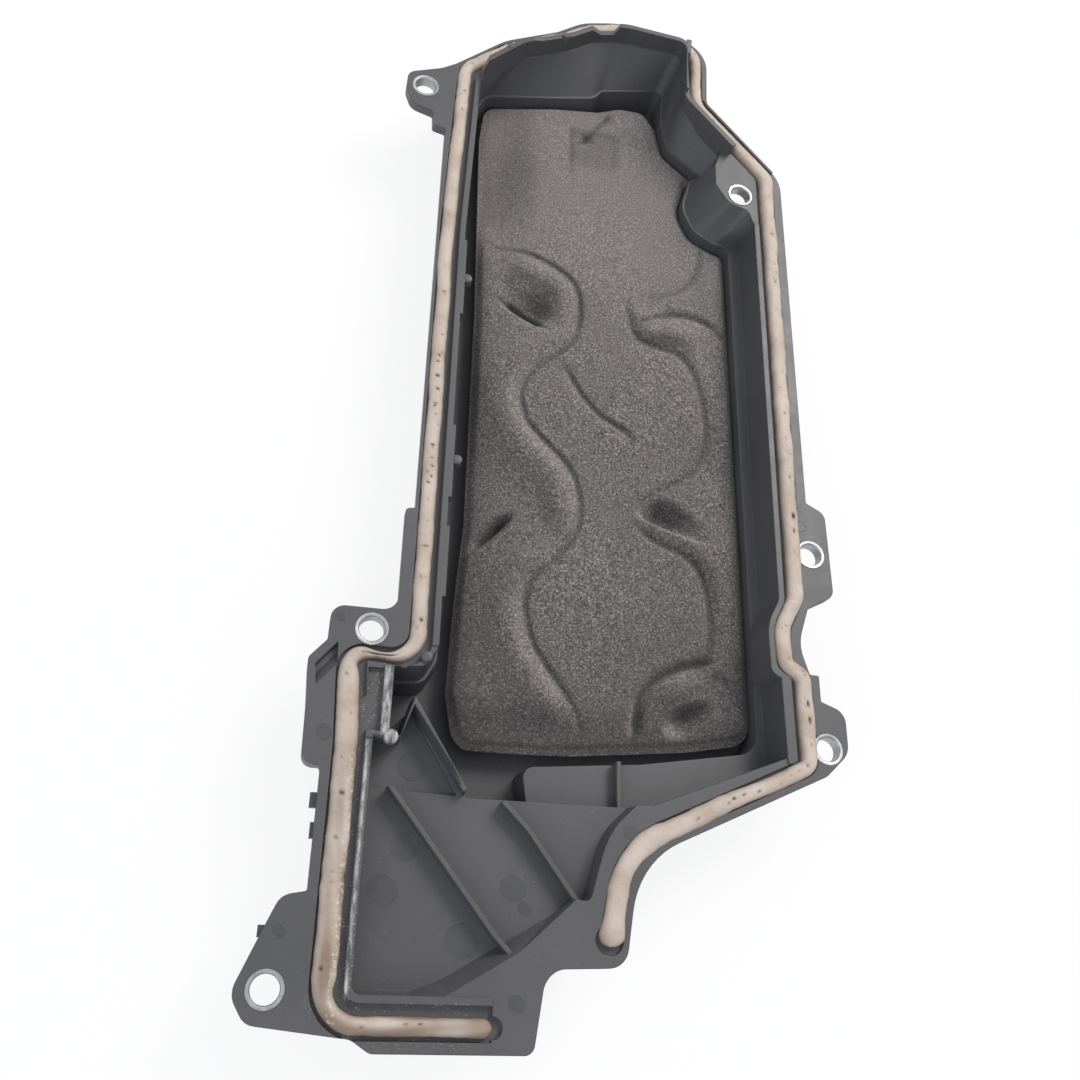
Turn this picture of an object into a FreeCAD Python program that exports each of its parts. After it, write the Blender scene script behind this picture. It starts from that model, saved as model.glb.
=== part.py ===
import FreeCAD, Part
import math
import os

from FreeCAD import Vector

# Moulded engine cover, lying on its back with its open side up.
# X runs across, Y along the long straight sides, Z towards the engine.
# The origin is the axis of the lower left screw hole in the mounting face, which is the plane Z = 0.

# Mounting face
FLANGE_THICKNESS = 4.5
BLOCK_DEPTH = 12.0
GROOVE_DEPTH = 2.0
LIP_HEIGHT = 0.6
RIM_HEIGHT = 10.0
RIM_SADDLE = 8.2
RIM_NOTCH = 4.2
RIM_CREST = 8.6

# Seal line: the main straights that the rest of the cover follows
SEAL_LEFT = 39.0
SEAL_RIGHT = 187.2
SEAL_BOTTOM = -9.6
SEAL_COLUMN = 17.1
SEAL_COLUMN_TOP = 108.2
SEAL_TOP = 434.6
SEAL_WIDTH = 5.6
SEAL_SIDE = 2.0
SEAL_CROWN = 1.8
SEAL_CROWN_SHARE = 0.45
SEAL_END_RADIUS = 4.3
SEAL_END_CLEARANCE = 0.6

# Screw holes and their metal compression limiters
SCREWS = {
    "lower_left": (0.0, 0.0),
    "left_middle": (SEAL_COLUMN + 5.3, SEAL_COLUMN_TOP + 9.2),
    "top_left": (SEAL_LEFT - 14.3, SEAL_TOP - 60.7),
    "top_right": (SEAL_RIGHT - 12.9, SEAL_TOP - 88.8),
    "right_middle": (SEAL_RIGHT + 7.2, 166.0),
    "right_lower": (SEAL_RIGHT + 7.6, 87.1),
}
LIMITER_RADIUS = 6.0
LIMITER_BORE_RADIUS = 4.5
LIMITER_PROUD = 0.3
EAR_RADIUS = 8.6

# Groove and lip, as distances from the middle of the seal
GROOVE_OUT = 3.2
GROOVE_OUT_COLUMN = 4.2
GROOVE_OUT_SLANT = 4.0
GROOVE_IN = 5.2
GROOVE_IN_COLUMN = 6.4
GROOVE_IN_NARROW = 3.6
LIP_WIDTH = 2.4
LIP_WIDTH_RIGHT = 4.0
OUTER_LIP_WIDTH = 1.1
OUTER_LIP_HEIGHT = 0.9
LAND_WIDTH = 5.4
COLUMN_LIP_WIDTH = 3.2

# Hollow of the cover
WALL = 2.5
SHELF_DEPTH = 17.0
TUB_DEPTH = 32.0
STEP_Y = 62.0
SHALLOW_DEPTH = 9.0
CORNER_DEPTH = 11.0
WALL_TAPER = 0.8
FOOT_ROUND = 3.0
RIB_THICKNESS = 1.6
RIB_TOP = -2.2
SHELF_WIDTH = 6.2
RECESS_STEP = 1.0
WEB_HEIGHT = 5.0
BLOCK_WALL = 2.0
POCKET_DEPTH = 3.2
TAB_DEPTH = 3.0
SLOPE_RUN = 5.0
GUARD_HEIGHT = 6.2
GUARD_LENGTH = 31.0
LIP_PADS = [(132.0, 160.0), (172.0, 203.0), (255.0, 292.0)]
LIP_PAD_WIDTH = 1.0

# Sound-deadening pad
PAD_THICKNESS = 12.0
PAD_EDGE_ROUND = 2.6
PAD_EDGE_DROP = 2.0
PAD_CLEARANCE = 0.6
PAD_DRAFT = 3.0
PAD_MARGIN_LEFT = 17.0
PAD_GAP = 1.9
PAD_RELIEF = 2.2

# Modelling values: how far a cut overshoots, the turn below which a corner isn't rounded, and the
# radius below which an inner corner is left sharp
CUT_OVER = 1.0
FLAT_TURN = 0.2
SMALLEST_BEND = 1.0


def seal_route():
    """Middle of the seal as corner points with the radius of the bend at each."""
    left = SEAL_LEFT
    right = SEAL_RIGHT
    column = SEAL_COLUMN
    top = SEAL_TOP
    notch = SCREWS["right_lower"][1] + 39.0
    return [
        (column + 53.5, SEAL_BOTTOM, 0.0),
        (column, SEAL_BOTTOM, 11.5),
        (column, SEAL_COLUMN_TOP - 32.0, 150.0),
        (column - 1.9, SEAL_COLUMN_TOP + 0.9, 5.5),
        (left - 0.2, SEAL_COLUMN_TOP - 0.9, 9.5),
        (left, 298.0, 300.0),
        (left + 3.0, 389.0, 12.0),
        (left + 23.5, 408.0, 25.0),
        (left + 48.5, top - 13.6, 30.0),
        (left + 60.5, top - 4.4, 20.0),
        (left + 77.0, top + 0.4, 30.0),
        (right - 31.7, top - 1.2, 12.0),
        (right - 33.2, top - 38.1, 15.0),
        (right + 0.8, top - 75.5, 10.0),
        (right - 0.6, notch + 20.4, 14.0),
        (right - 7.7, notch + 6.9, 14.0),
        (right - 7.5, notch - 7.3, 5.5),
        (right - 0.3, notch - 11.6, 5.0),
        (right, SCREWS["right_lower"][1] - 6.9, 5.0),
        (right - 72.3, SCREWS["right_lower"][1] - 39.9, 36.0),
        (right - 78.3, 15.5, 0.0),
    ]


# Names of the corners of the seal route, in order
SEAL_CORNERS = [
    "tail", "foot", "column", "column_top", "left_foot", "left", "left_top",
    "arch_1", "arch_2", "arch_3", "arch_4", "top_right", "waist", "right_top",
    "notch_top", "notch_high", "notch_low", "notch_foot", "right_foot", "diagonal", "head",
]


def at(corner):
    """Place of a named corner in the seal route."""
    return SEAL_CORNERS.index(corner)


def unit(a, b):
    """Unit vector from point a to point b."""
    length = math.hypot(b[0] - a[0], b[1] - a[1])
    return (b[0] - a[0]) / length, (b[1] - a[1]) / length


def shifted(points, distance):
    """The same outline moved to the right of its travel; distance is one value or one per run."""
    count = len(points)
    runs = [unit(points[i], points[i + 1]) for i in range(count - 1)]
    if not isinstance(distance, (list, tuple)):
        distance = [distance] * (count - 1)
    result = []
    for i, (x, y, radius) in enumerate(points):
        before = max(i - 1, 0)
        after = min(i, count - 2)
        ux, uy = runs[before]
        vx, vy = runs[after]
        turn = ux * vy - uy * vx
        if abs(turn) < 1e-6:
            result.append((x + uy * distance[before], y - ux * distance[before], radius))
            continue
        along = (distance[after] - distance[before] * (ux * vx + uy * vy)) / turn
        new_x = x + uy * distance[before] + ux * along
        new_y = y - ux * distance[before] + uy * along
        bend = radius + math.copysign(1.0, turn) * distance[before] if radius else 0.0
        result.append((new_x, new_y, bend if bend > SMALLEST_BEND else 0.0))
    return result


def grown(points, distance):
    """A closed outline, given clockwise, moved outwards by the distance."""
    ring = [points[-1]] + list(points) + [points[0]]
    if isinstance(distance, (list, tuple)):
        apart = [-d for d in distance]
        return shifted(ring, [apart[-1]] + apart)[1:-1]
    return shifted(ring, -distance)[1:-1]


def outline(points, closed=True, flattest=FLAT_TURN):
    """Wire through the corner points, rounded at each corner that turns by more than the flattest."""
    count = len(points)
    bends = []
    for i, (x, y, radius) in enumerate(points):
        inner = closed or 0 < i < count - 1
        if not inner or radius <= 0:
            bends.append(((x, y), (x, y), None))
            continue
        before = points[i - 1]
        after = points[(i + 1) % count]
        ux, uy = unit((x, y), before)
        vx, vy = unit((x, y), after)
        half = math.acos(max(-1.0, min(1.0, ux * vx + uy * vy))) / 2
        if math.pi - 2 * half < flattest:
            bends.append(((x, y), (x, y), None))
            continue
        room = 0.48 * min(math.dist((x, y), before[:2]), math.dist((x, y), after[:2]))
        reach = min(radius / math.tan(half), room)
        radius = reach * math.tan(half)
        start = (x + ux * reach, y + uy * reach)
        end = (x + vx * reach, y + vy * reach)
        mx, my = ux + vx, uy + vy
        size = math.hypot(mx, my)
        depth = radius / math.sin(half) - radius
        middle = (x + mx / size * depth, y + my / size * depth)
        bends.append((start, end, middle))
    edges = []
    for i in range(count):
        start, end, middle = bends[i]
        if middle:
            arc = Part.Arc(Vector(*start, 0), Vector(*middle, 0), Vector(*end, 0))
            edges.append(arc.toShape())
        if i == count - 1 and not closed:
            break
        following = bends[(i + 1) % count][0]
        if math.dist(end, following) > 1e-4:
            edges.append(Part.makeLine(Vector(*end, 0), Vector(*following, 0)))
    return Part.Wire(edges)


def prism(points, low, high):
    """Upright solid on a closed outline, from one height to another."""
    face = Part.Face(outline(points))
    face.translate(Vector(0, 0, low))
    return face.extrude(Vector(0, 0, high - low))


def turn_at(points, i):
    """Angle that a closed outline turns through at one of its corners."""
    ux, uy = unit(points[i - 1], points[i])
    vx, vy = unit(points[i], points[(i + 1) % len(points)])
    return abs(math.atan2(ux * vy - uy * vx, ux * vx + uy * vy))


def between(top, high, foot, low):
    """Upright solid whose outline changes from one to the other, corner by corner."""
    rounded = []
    for i in range(len(top)):
        turns = min(turn_at(top, i), turn_at(foot, i)) > FLAT_TURN
        rounded.append(turns and min(top[i][2], foot[i][2]) > 0)
    wires = []
    for points, height in ((foot, low), (top, high)):
        wire = outline([(x, y, radius if bent else 0.0) for (x, y, radius), bent in zip(points, rounded)])
        wire.translate(Vector(0, 0, height))
        wires.append(wire)
    return Part.makeLoft(wires, True, True)


def tapered(points, high, low, inset):
    """Upright solid on a closed clockwise outline that is smaller by the inset at its foot."""
    inwards = [-d for d in inset] if isinstance(inset, (list, tuple)) else -inset
    return between(points, high, grown(points, inwards), low)


def band(points, left, right):
    """Closed outline that runs beside a route, from one offset to another."""
    return shifted(points, right) + shifted(points, left)[::-1]


def disc(x, y, radius, low, high):
    """Upright round bar."""
    return Part.makeCylinder(radius, high - low, Vector(x, y, low))


def turned(x, y, profile):
    """Solid of revolution about an upright axis, from (radius, height) points."""
    corners = [Vector(x + radius, y, height) for radius, height in profile]
    face = Part.Face(Part.makePolygon(corners + corners[:1]))
    return face.revolve(Vector(x, y, 0), Vector(0, 0, 1), 360)


def flange_outline():
    """Outer edge of the mounting flange, clockwise from its lower right foot."""
    route = seal_route()
    left = SEAL_LEFT - 4.5
    right = SEAL_RIGHT + 7.2
    column = SEAL_COLUMN - 7.6
    foot = SEAL_BOTTOM - 7.7
    ear = EAR_RADIUS
    x1, y1 = SCREWS["lower_left"]
    x2, y2 = SCREWS["left_middle"]
    x3, y3 = SCREWS["top_left"]
    x5, y5 = SCREWS["right_middle"]
    x6, y6 = SCREWS["right_lower"]
    distances = [-4.4] * (len(route) - 1)
    distances[at("top_right")] = -5.8
    distances[at("waist")] = -GROOVE_OUT_SLANT - OUTER_LIP_WIDTH
    distances[at("right_top")] = -7.2
    distances[at("right_foot"):] = [-5.7, -5.7]
    edge = shifted(route, distances)
    lower_left_ear = [
        (column + 23.5, foot, 4.0),
        (column + 17.5, foot + 3.8, 6.0),
        (x1 - 5.0, y1 - 9.9, 6.0),
        (x1 - 10.4, y1 - 1.5, 7.0),
        (x1 - 1.6, y1 + 20.0, 4.0),
        (x1 + 1.6, y1 + 27.5, 6.0),
        (column, y1 + 29.0, 1.0),
    ]
    left_ear = [
        (column, y2 - 49.2, 1.5),
        (x2 - 19.3, y2 - 47.6, 4.0),
        (x2 - 19.8, y2 - 27.0, 20.0),
        (x2 - 20.8, y2 - 12.2, 3.0),
        (x2 - 14.8, y2 - 5.2, 2.0),
        (x2 - 14.6, y2 + 7.7, 5.0),
        (left - 3.6, y2 + 7.7, 5.5),
        (left - 3.6, y2 + 48.0, 1.5),
        (left, y2 + 48.6, 0.8),
    ]
    top_left_ear = [
        (left + 0.4, y3 - 22.4, 0.8),
        (x3 + 4.6, y3 - 21.2, 1.5),
        (x3 + 4.2, y3 - 13.6, 1.0),
        (x3 - 5.6, y3 - 10.8, 6.0),
        (x3 - ear, y3 - 3.0, 6.0),
        (x3 - ear + 0.4, y3 + 6.4, 5.0),
        (x3 + 6.6, y3 + 12.6, 12.0),
    ]
    right_ears = [
        (right, y5 + 23.0, 0.8),
        (x5 + ear - 0.6, y5 + 19.0, 5.0),
        (x5 + ear, y5 - 17.2, 5.0),
        (x5 - 3.0, y5 - 23.2, 3.0),
        (x5 - 8.2, y5 - 38.6, 17.0),
        (x6 - 4.9, y6 + 28.4, 1.0),
        (x6 - 1.2, y6 + 28.4, 0.8),
        (x6 - 1.2, y6 + 18.2, 0.8),
        (x6 + ear - 0.2, y6 + 14.6, 6.0),
        (x6 + ear - 0.2, y6 - 1.0, 8.0),
        (x6 - 1.2, y6 - 10.2, 8.0),
    ]
    diagonal = [
        (edge[at("diagonal")][0], edge[at("diagonal")][1], 30.0),
        (edge[-1][0] + 0.6, edge[-1][1] - 5.4, 7.0),
        (x1 + 88.0, y1 + 8.0, 8.0),
        (x1 + 84.2, foot, 3.5),
    ]
    over_top = edge[at("left_top"):at("notch_top")]
    return lower_left_ear + left_ear + top_left_ear + over_top + right_ears + diagonal


def groove_inside():
    """Distance from the middle of the seal to the groove's inner wall, for each run of the route."""
    widths = {"column_top": SEAL_WIDTH / 2}
    for corner in ("tail", "foot", "column"):
        widths[corner] = GROOVE_IN_COLUMN
    for corner in ("notch_top", "notch_high", "notch_low", "right_foot", "diagonal"):
        widths[corner] = GROOVE_IN_NARROW
    return [widths.get(corner, GROOVE_IN) for corner in SEAL_CORNERS[:-1]]


def groove_outside():
    """Distance from the middle of the seal to the groove's outer wall, for each run of the route."""
    widths = {"waist": GROOVE_OUT_SLANT}
    for corner in ("tail", "foot", "column"):
        widths[corner] = GROOVE_OUT_COLUMN
    return [-widths.get(corner, GROOVE_OUT) for corner in SEAL_CORNERS[:-1]]


def lip_inside():
    """Distance from the middle of the seal to the inner face of the lip, for each run of the route."""
    distances = [inside + LIP_WIDTH for inside in groove_inside()]
    distances[at("notch_foot")] = GROOVE_IN + LIP_WIDTH_RIGHT
    return distances


def inner_edge():
    """Inner face of the wall under the lip, point by point along the seal route."""
    return shifted(seal_route(), lip_inside())


def column_edge():
    """Edge of the plate round the top right screw, where the wall of its column starts."""
    x, y = SCREWS["top_right"]
    return [
        (x - 5.6, y + 31.6, 0.0),
        (x - 11.3, y + 15.5, 5.0),
        (x - 11.3, y + 4.0, 6.0),
        (x - 5.0, y - 5.4, 6.0),
        (x + 4.4, y - 7.8, 4.0),
        (inner_edge()[at("right_top")][0], y - 16.0, 0.0),
    ]


def column_foot():
    """Foot of the same column, corner by corner."""
    x, y = SCREWS["top_right"]
    return [
        (x - 9.5, y + 21.4, 0.0),
        (x - 16.9, y + 19.5, 5.0),
        (x - 21.9, y + 1.7, 14.0),
        (x - 16.3, y - 11.0, 10.0),
        (x - 6.5, y - 15.8, 6.0),
        (inner_edge()[at("right_top")][0] - WALL_TAPER, y - 16.6, 0.0),
    ]


def column_wall():
    """Inner face of the wall beside the lower left column."""
    return SEAL_COLUMN + GROOVE_IN_COLUMN + LIP_WIDTH


def tub_sides():
    """Corners of the hollow's edge in the mounting face: lower left, over the top, lower right."""
    edge = inner_edge()
    wall = column_wall() + LAND_WIDTH
    lower_left = [
        (wall + 28.5, STEP_Y, 0.0),
        (wall + 8.2, STEP_Y + 32.5, 0.0),
        (wall + 4.0, STEP_Y + 18.5, 0.0),
        (wall, STEP_Y + 18.0, 0.0),
        (wall, SEAL_COLUMN_TOP - 3.4, 0.0),
        (SEAL_LEFT + 3.4, SEAL_COLUMN_TOP - 2.6, 4.0),
        (edge[at("left_foot")][0], SEAL_COLUMN_TOP + 5.0, 5.0),
        edge[at("left")],
    ]
    corner, waist = edge[at("top_right")], edge[at("waist")]
    middle = ((corner[0] + waist[0]) / 2, (corner[1] + waist[1]) / 2, 0.0)
    over_top = edge[at("left_top"):at("waist")] + [middle, waist] + column_edge()
    lower_right = edge[at("notch_top"):at("diagonal")] + [(SEAL_RIGHT - 62.0, STEP_Y, 6.0)]
    return lower_left, over_top, lower_right


def tub_outline():
    """Edge of the hollow in the mounting face, clockwise from its lower left corner."""
    lower_left, over_top, lower_right = tub_sides()
    return lower_left + over_top + lower_right


def over_top_foot():
    """Foot of the wall over the top and round the screw column, corner by corner."""
    left = SEAL_LEFT + PAD_MARGIN_LEFT
    y = SCREWS["top_right"][1]
    return [
        (left - 7.0, y + 36.0, 5.0),
        (left - 1.8, y + 47.6, 8.0),
        (left + 33.0, y + 55.7, 0.0),
        (left + 51.5, y + 60.5, 5.0),
        (left + 55.5, y + 66.0, 5.0),
        (SEAL_RIGHT - 42.9, SEAL_TOP - 14.0, 4.0),
        (SEAL_RIGHT - 44.2, SEAL_TOP - 36.4, 0.0),
        (SEAL_RIGHT - 41.2, SEAL_TOP - 52.1, 10.0),
    ] + column_foot()


def tub_foot():
    """Foot of the hollow's walls, as many corners as their upper edge has."""
    lower_left, over_top, lower_right = tub_sides()
    inset = grown(tub_outline(), -WALL_TAPER)
    return inset[:len(lower_left)] + over_top_foot() + inset[-len(lower_right):]


def recess_outline():
    """Deep recess that takes the pad, clockwise from its lower left corner."""
    tub = tub_outline()
    right = inner_edge()[at("right_top")][0] - SHELF_WIDTH
    y = SCREWS["top_right"][1]
    wall = tub_foot()[3:-len(tub_sides()[2])]
    lower_left = [
        (tub[1][0] + 0.4, tub[1][1] - RECESS_STEP, 0.0),
        (tub[3][0] + RECESS_STEP, tub[1][1] - 9.0, 0.0),
    ]
    lower = [
        (right, y - 17.6, 4.0),
        (right, STEP_Y + 25.6, 9.0),
        (SEAL_RIGHT - 60.0, STEP_Y + 18.0, 40.0),
        (SEAL_LEFT + 42.5, STEP_Y + 14.0, 4.0),
        (SEAL_LEFT + 44.5, STEP_Y + RECESS_STEP, 0.0),
        (tub[0][0] + 0.6, STEP_Y + RECESS_STEP, 0.0),
    ]
    return lower_left + shifted(wall, RECESS_STEP)[1:-1] + lower


def shallow_outline():
    """Shallow floor at the foot of the cover, clockwise from its lower left corner."""
    edge = inner_edge()
    wall = column_wall()
    foot = SEAL_BOTTOM + GROOVE_IN
    diagonal = edge[at("diagonal")]
    return [
        (wall, foot, 6.0),
        (wall, STEP_Y + 17.6, 0.0),
        (wall + 9.2, STEP_Y + 18.0, 0.0),
        (wall + 13.4, STEP_Y + 30.0, 0.0),
        (wall + 33.5, STEP_Y + 2.0, 0.0),
        (diagonal[0] + 12.0, STEP_Y + 2.0, 0.0),
        (diagonal[0] - 0.4, diagonal[1] + 1.0, 34.0),
        (edge[at("head")][0] - 0.4, STEP_Y - 33.0, 3.0),
        (wall + 72.0, STEP_Y - 32.0, 0.0),
    ] + [
        (wall + 51.5, STEP_Y - 50.5, 0.0),
        (wall + 31.0, foot + 4.0, 6.0),
        (wall + 20.0, foot, 6.0),
    ]


def shallow_slopes():
    """How far each wall of the shallow floor leans in: the corner towards the screw is a slope."""
    count = len(shallow_outline())
    return [WALL_TAPER] * (count - 3) + [SLOPE_RUN] * 3


def pad_outline():
    """Edge of the sound-deadening pad, clockwise from its lower left corner."""
    left = SEAL_LEFT + PAD_MARGIN_LEFT
    right = inner_edge()[at("right_top")][0] - SHELF_WIDTH - PAD_CLEARANCE
    y = SCREWS["top_right"][1]
    along_wall = over_top_foot()[5:]
    return [
        (left + 0.6, STEP_Y + 19.4, 9.0),
        (left - 3.4, STEP_Y + 40.0, 12.0),
        (left - 2.2, STEP_Y + 76.0, 30.0),
        (left, STEP_Y + 110.0, 60.0),
        (left - 0.4, STEP_Y + 210.0, 80.0),
        (left - 2.8, y + 24.0, 30.0),
        (left - 1.0, y + 44.5, 8.0),
        (left + 33.5, y + 53.4, 40.0),
        (left + 56.0, y + 56.8, 10.0),
        (left + 67.0, y + 62.0, 10.0),
        (left + 79.0, y + 62.0, 8.0),
    ] + shifted(along_wall, PAD_GAP)[1:-1] + [
        (right, y - 19.4, 4.0),
        (right, STEP_Y + 30.0, 10.0),
        (left + 91.0, STEP_Y + 25.0, 60.0),
        (left + 40.0, STEP_Y + 19.8, 60.0),
    ]


def rib(route, low, high):
    """Thin upright web along a route of points."""
    half = RIB_THICKNESS / 2
    return prism(band(route, -half, half), low, high)


def seal_groove():
    """Channel that the seal is foamed into, wider beside the lower left column and round its ends."""
    channel = prism(band(seal_route(), groove_outside(), groove_inside()), -GROOVE_DEPTH, CUT_OVER)
    ends = []
    for x, y, radius in seal_ends():
        ends.append(disc(x, y, radius + SEAL_END_CLEARANCE, -GROOVE_DEPTH, CUT_OVER))
    return channel.fuse(ends)


def lip():
    """Low lip between the groove and the hollow, with three thicker places on its left side. It
    stops at the screw plate."""
    route = seal_route()
    low = -FLANGE_THICKNESS
    column = band(route[:at("column_top")], GROOVE_IN_COLUMN, GROOVE_IN_COLUMN + LIP_WIDTH)
    runs = slice(at("left_foot"), at("right_foot"))
    first = (route[at("left_foot")][0], SEAL_COLUMN_TOP + 5.0, 0.0)
    corners = [first] + route[at("left"):at("diagonal")]
    main = band(corners, groove_inside()[runs], lip_inside()[runs])
    above_plate = prism(plate_outline(), 0.0, LIP_HEIGHT + CUT_OVER)
    solid = prism(column, low, LIP_HEIGHT).fuse(prism(main, low, LIP_HEIGHT).cut(above_plate))
    face = SEAL_LEFT + GROOVE_IN + LIP_WIDTH
    for start, end in LIP_PADS:
        pad = Part.makeBox(LIP_PAD_WIDTH + CUT_OVER, end - start, LIP_HEIGHT - low)
        pad.translate(Vector(face - CUT_OVER, start, low))
        solid = solid.fuse(pad)
    return solid


def column_lip():
    """Lip that steps aside at the top of the column, along the edge of the deep part."""
    inside = column_wall()
    outside = inside + LAND_WIDTH
    step = STEP_Y + 18.0
    form = [
        (inside - LIP_WIDTH, step - 1.0, 0.0),
        (inside - LIP_WIDTH, step + 1.4, 0.0),
        (outside - COLUMN_LIP_WIDTH, step + 1.4, 0.0),
        (outside - COLUMN_LIP_WIDTH, SEAL_COLUMN_TOP - 3.4, 0.0),
        (outside, SEAL_COLUMN_TOP - 3.4, 0.0),
        (outside, step, 0.0),
        (inside, step, 0.0),
        (inside, step - 1.0, 0.0),
    ]
    return prism(form, -FLANGE_THICKNESS, LIP_HEIGHT)


def column_land():
    """Sunken land between the groove and that lip."""
    inside = column_wall()
    corner = Vector(inside - LIP_WIDTH - CUT_OVER, STEP_Y + 19.4, -GROOVE_DEPTH)
    wide = LAND_WIDTH - COLUMN_LIP_WIDTH + LIP_WIDTH + CUT_OVER
    return Part.makeBox(wide, SEAL_COLUMN_TOP - 4.6 - corner.y, GROOVE_DEPTH + CUT_OVER, corner)


def outer_lip():
    """Thin lip on the outer edge of the slanting run at the top right."""
    route = seal_route()[at("waist"):at("notch_top")]
    form = band(route, -GROOVE_OUT_SLANT - OUTER_LIP_WIDTH, -GROOVE_OUT_SLANT)
    return prism(form, -FLANGE_THICKNESS, OUTER_LIP_HEIGHT)


def raised(route, profile, axis):
    """Wall inside the seal along a route, up to a stepped line of (place, height) points."""
    places = [place for place, height in profile]
    closed = profile + [(max(places), -CUT_OVER), (min(places), -CUT_OVER), profile[0]]
    wall = prism(band(route, GROOVE_IN, GROOVE_IN + LIP_WIDTH), -CUT_OVER, RIM_HEIGHT + CUT_OVER)
    length = 2 * (SEAL_TOP + SEAL_RIGHT)
    if axis == "x":
        face = Part.Face(Part.makePolygon([Vector(x, -length / 2, z) for x, z in closed]))
        return wall.common(face.extrude(Vector(0, length, 0)))
    face = Part.Face(Part.makePolygon([Vector(-length / 2, y, z) for y, z in closed]))
    return wall.common(face.extrude(Vector(length, 0, 0)))


def rim():
    """Raised wall inside the seal over the top, with its stepped upper edge."""
    route = seal_route()
    left = SEAL_LEFT
    over_top = raised(route[at("left"):at("right_top")], [
        (left, LIP_HEIGHT),
        (left + 9.8, LIP_HEIGHT),
        (left + 12.5, RIM_HEIGHT - 1.5),
        (left + 33.0, RIM_HEIGHT),
        (left + 37.0, RIM_SADDLE + 0.6),
        (left + 61.0, RIM_SADDLE),
        (left + 66.0, RIM_NOTCH),
        (left + 73.0, RIM_NOTCH),
        (left + 75.0, RIM_CREST),
        (SEAL_RIGHT - 39.5, RIM_CREST),
    ], "x")
    past_corner = raised(route[at("top_right"):at("right_top")], [
        (SEAL_TOP - 18.0, LIP_HEIGHT),
        (SEAL_TOP - 13.5, RIM_CREST - 1.0),
        (SEAL_TOP - 6.0, RIM_CREST),
    ], "y")
    return over_top.fuse(past_corner)


def guard_lip():
    """Taller lip that guards the seal beside the top right screw."""
    route = seal_route()
    before, start, end = route[at("top_right"):at("notch_top")]
    share = GUARD_LENGTH / math.dist(start[:2], end[:2])
    stop = (start[0] + (end[0] - start[0]) * share, start[1] + (end[1] - start[1]) * share, 0.0)
    rise = (start[0] + (before[0] - start[0]) * 0.12, start[1] + (before[1] - start[1]) * 0.12, 0.0)
    return prism(band([rise, start, stop], GROOVE_IN, GROOVE_IN + LIP_WIDTH), -CUT_OVER, GUARD_HEIGHT)


def cavity():
    """The open space inside the cover, in one piece."""
    shelf = between(tub_outline(), CUT_OVER, tub_foot(), -SHELF_DEPTH)
    recess = tapered(recess_outline(), -SHELF_DEPTH + CUT_OVER, -TUB_DEPTH, WALL_TAPER)
    shallow = tapered(shallow_outline(), CUT_OVER, -SHALLOW_DEPTH, shallow_slopes())
    return shelf.fuse([recess, shallow])


def shell():
    """Outer form of the walls and floors behind the flange."""
    top = -FLANGE_THICKNESS / 2
    tub = between(grown(tub_outline(), WALL), top, grown(tub_foot(), WALL), -SHELF_DEPTH - WALL)
    waist = -TUB_DEPTH + FOOT_ROUND
    outer = grown(recess_outline(), WALL)
    recess = tapered(outer, -SHELF_DEPTH, waist, WALL_TAPER)
    sole = tapered(grown(outer, -WALL_TAPER), waist, -TUB_DEPTH - WALL, FOOT_ROUND)
    shallow = tapered(grown(shallow_outline(), WALL), top, -SHALLOW_DEPTH - WALL, WALL_TAPER)
    return [tub, recess, sole, shallow]


def plate_outline():
    """Outline of the flat top round the top right screw."""
    y = SCREWS["top_right"][1]
    edge = inner_edge()[at("right_top")][0]
    return column_edge() + [(edge + LIP_WIDTH, y - 16.0, 0.0), (edge + 4.0, y + 10.0, 0.0)]


def screw_plate():
    """Flat top round the top right screw, level with the mounting face."""
    return prism(plate_outline(), -FLANGE_THICKNESS, 0.0)


def floor_ribs():
    """Slanting ribs on the shallow floor and the short web under the pad's lower edge."""
    wall = column_wall()
    low = -SHALLOW_DEPTH - WALL / 2
    corner = -CORNER_DEPTH - WALL / 2
    long_rib = [
        (wall + 4.6, STEP_Y + 5.4, 0.0),
        (wall + 45.0, STEP_Y - 44.0, 10.0),
        (wall + 57.0, STEP_Y - 56.0, 0.0),
    ]
    short_rib = [
        (wall + 46.5, STEP_Y - 0.8, 0.0),
        (wall + 55.5, STEP_Y - 9.5, 20.0),
        (wall + 73.0, STEP_Y - 32.4, 0.0),
    ]
    edge_rib = [
        (wall + 14.2, STEP_Y + 31.8, 0.0),
        (wall + 33.2, STEP_Y + 2.0, 0.0),
    ]
    web = [
        (SEAL_RIGHT - 70.5, STEP_Y - 0.6, 0.0),
        (SEAL_RIGHT - 70.5, STEP_Y + 17.6, 0.0),
    ]
    ribs = rib(long_rib, corner, RIB_TOP)
    return ribs.fuse([
        rib(short_rib, low, RIB_TOP - 1.0),
        rib(edge_rib, corner, RIB_TOP - 1.4),
        rib(web, -SHELF_DEPTH - WALL / 2, -SHELF_DEPTH + WEB_HEIGHT),
    ])


def corner_floor():
    """Slightly deeper floor between the column, the step and the short edge rib."""
    wall = column_wall()
    corner = [
        (wall + 0.4, STEP_Y + 2.0, 0.0),
        (wall + 0.4, STEP_Y + 17.2, 0.0),
        (wall + 9.6, STEP_Y + 17.6, 0.0),
        (wall + 13.5, STEP_Y + 29.0, 0.0),
        (wall + 31.0, STEP_Y + 1.0, 0.0),
    ]
    return prism(corner, -CORNER_DEPTH, CUT_OVER)


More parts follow.
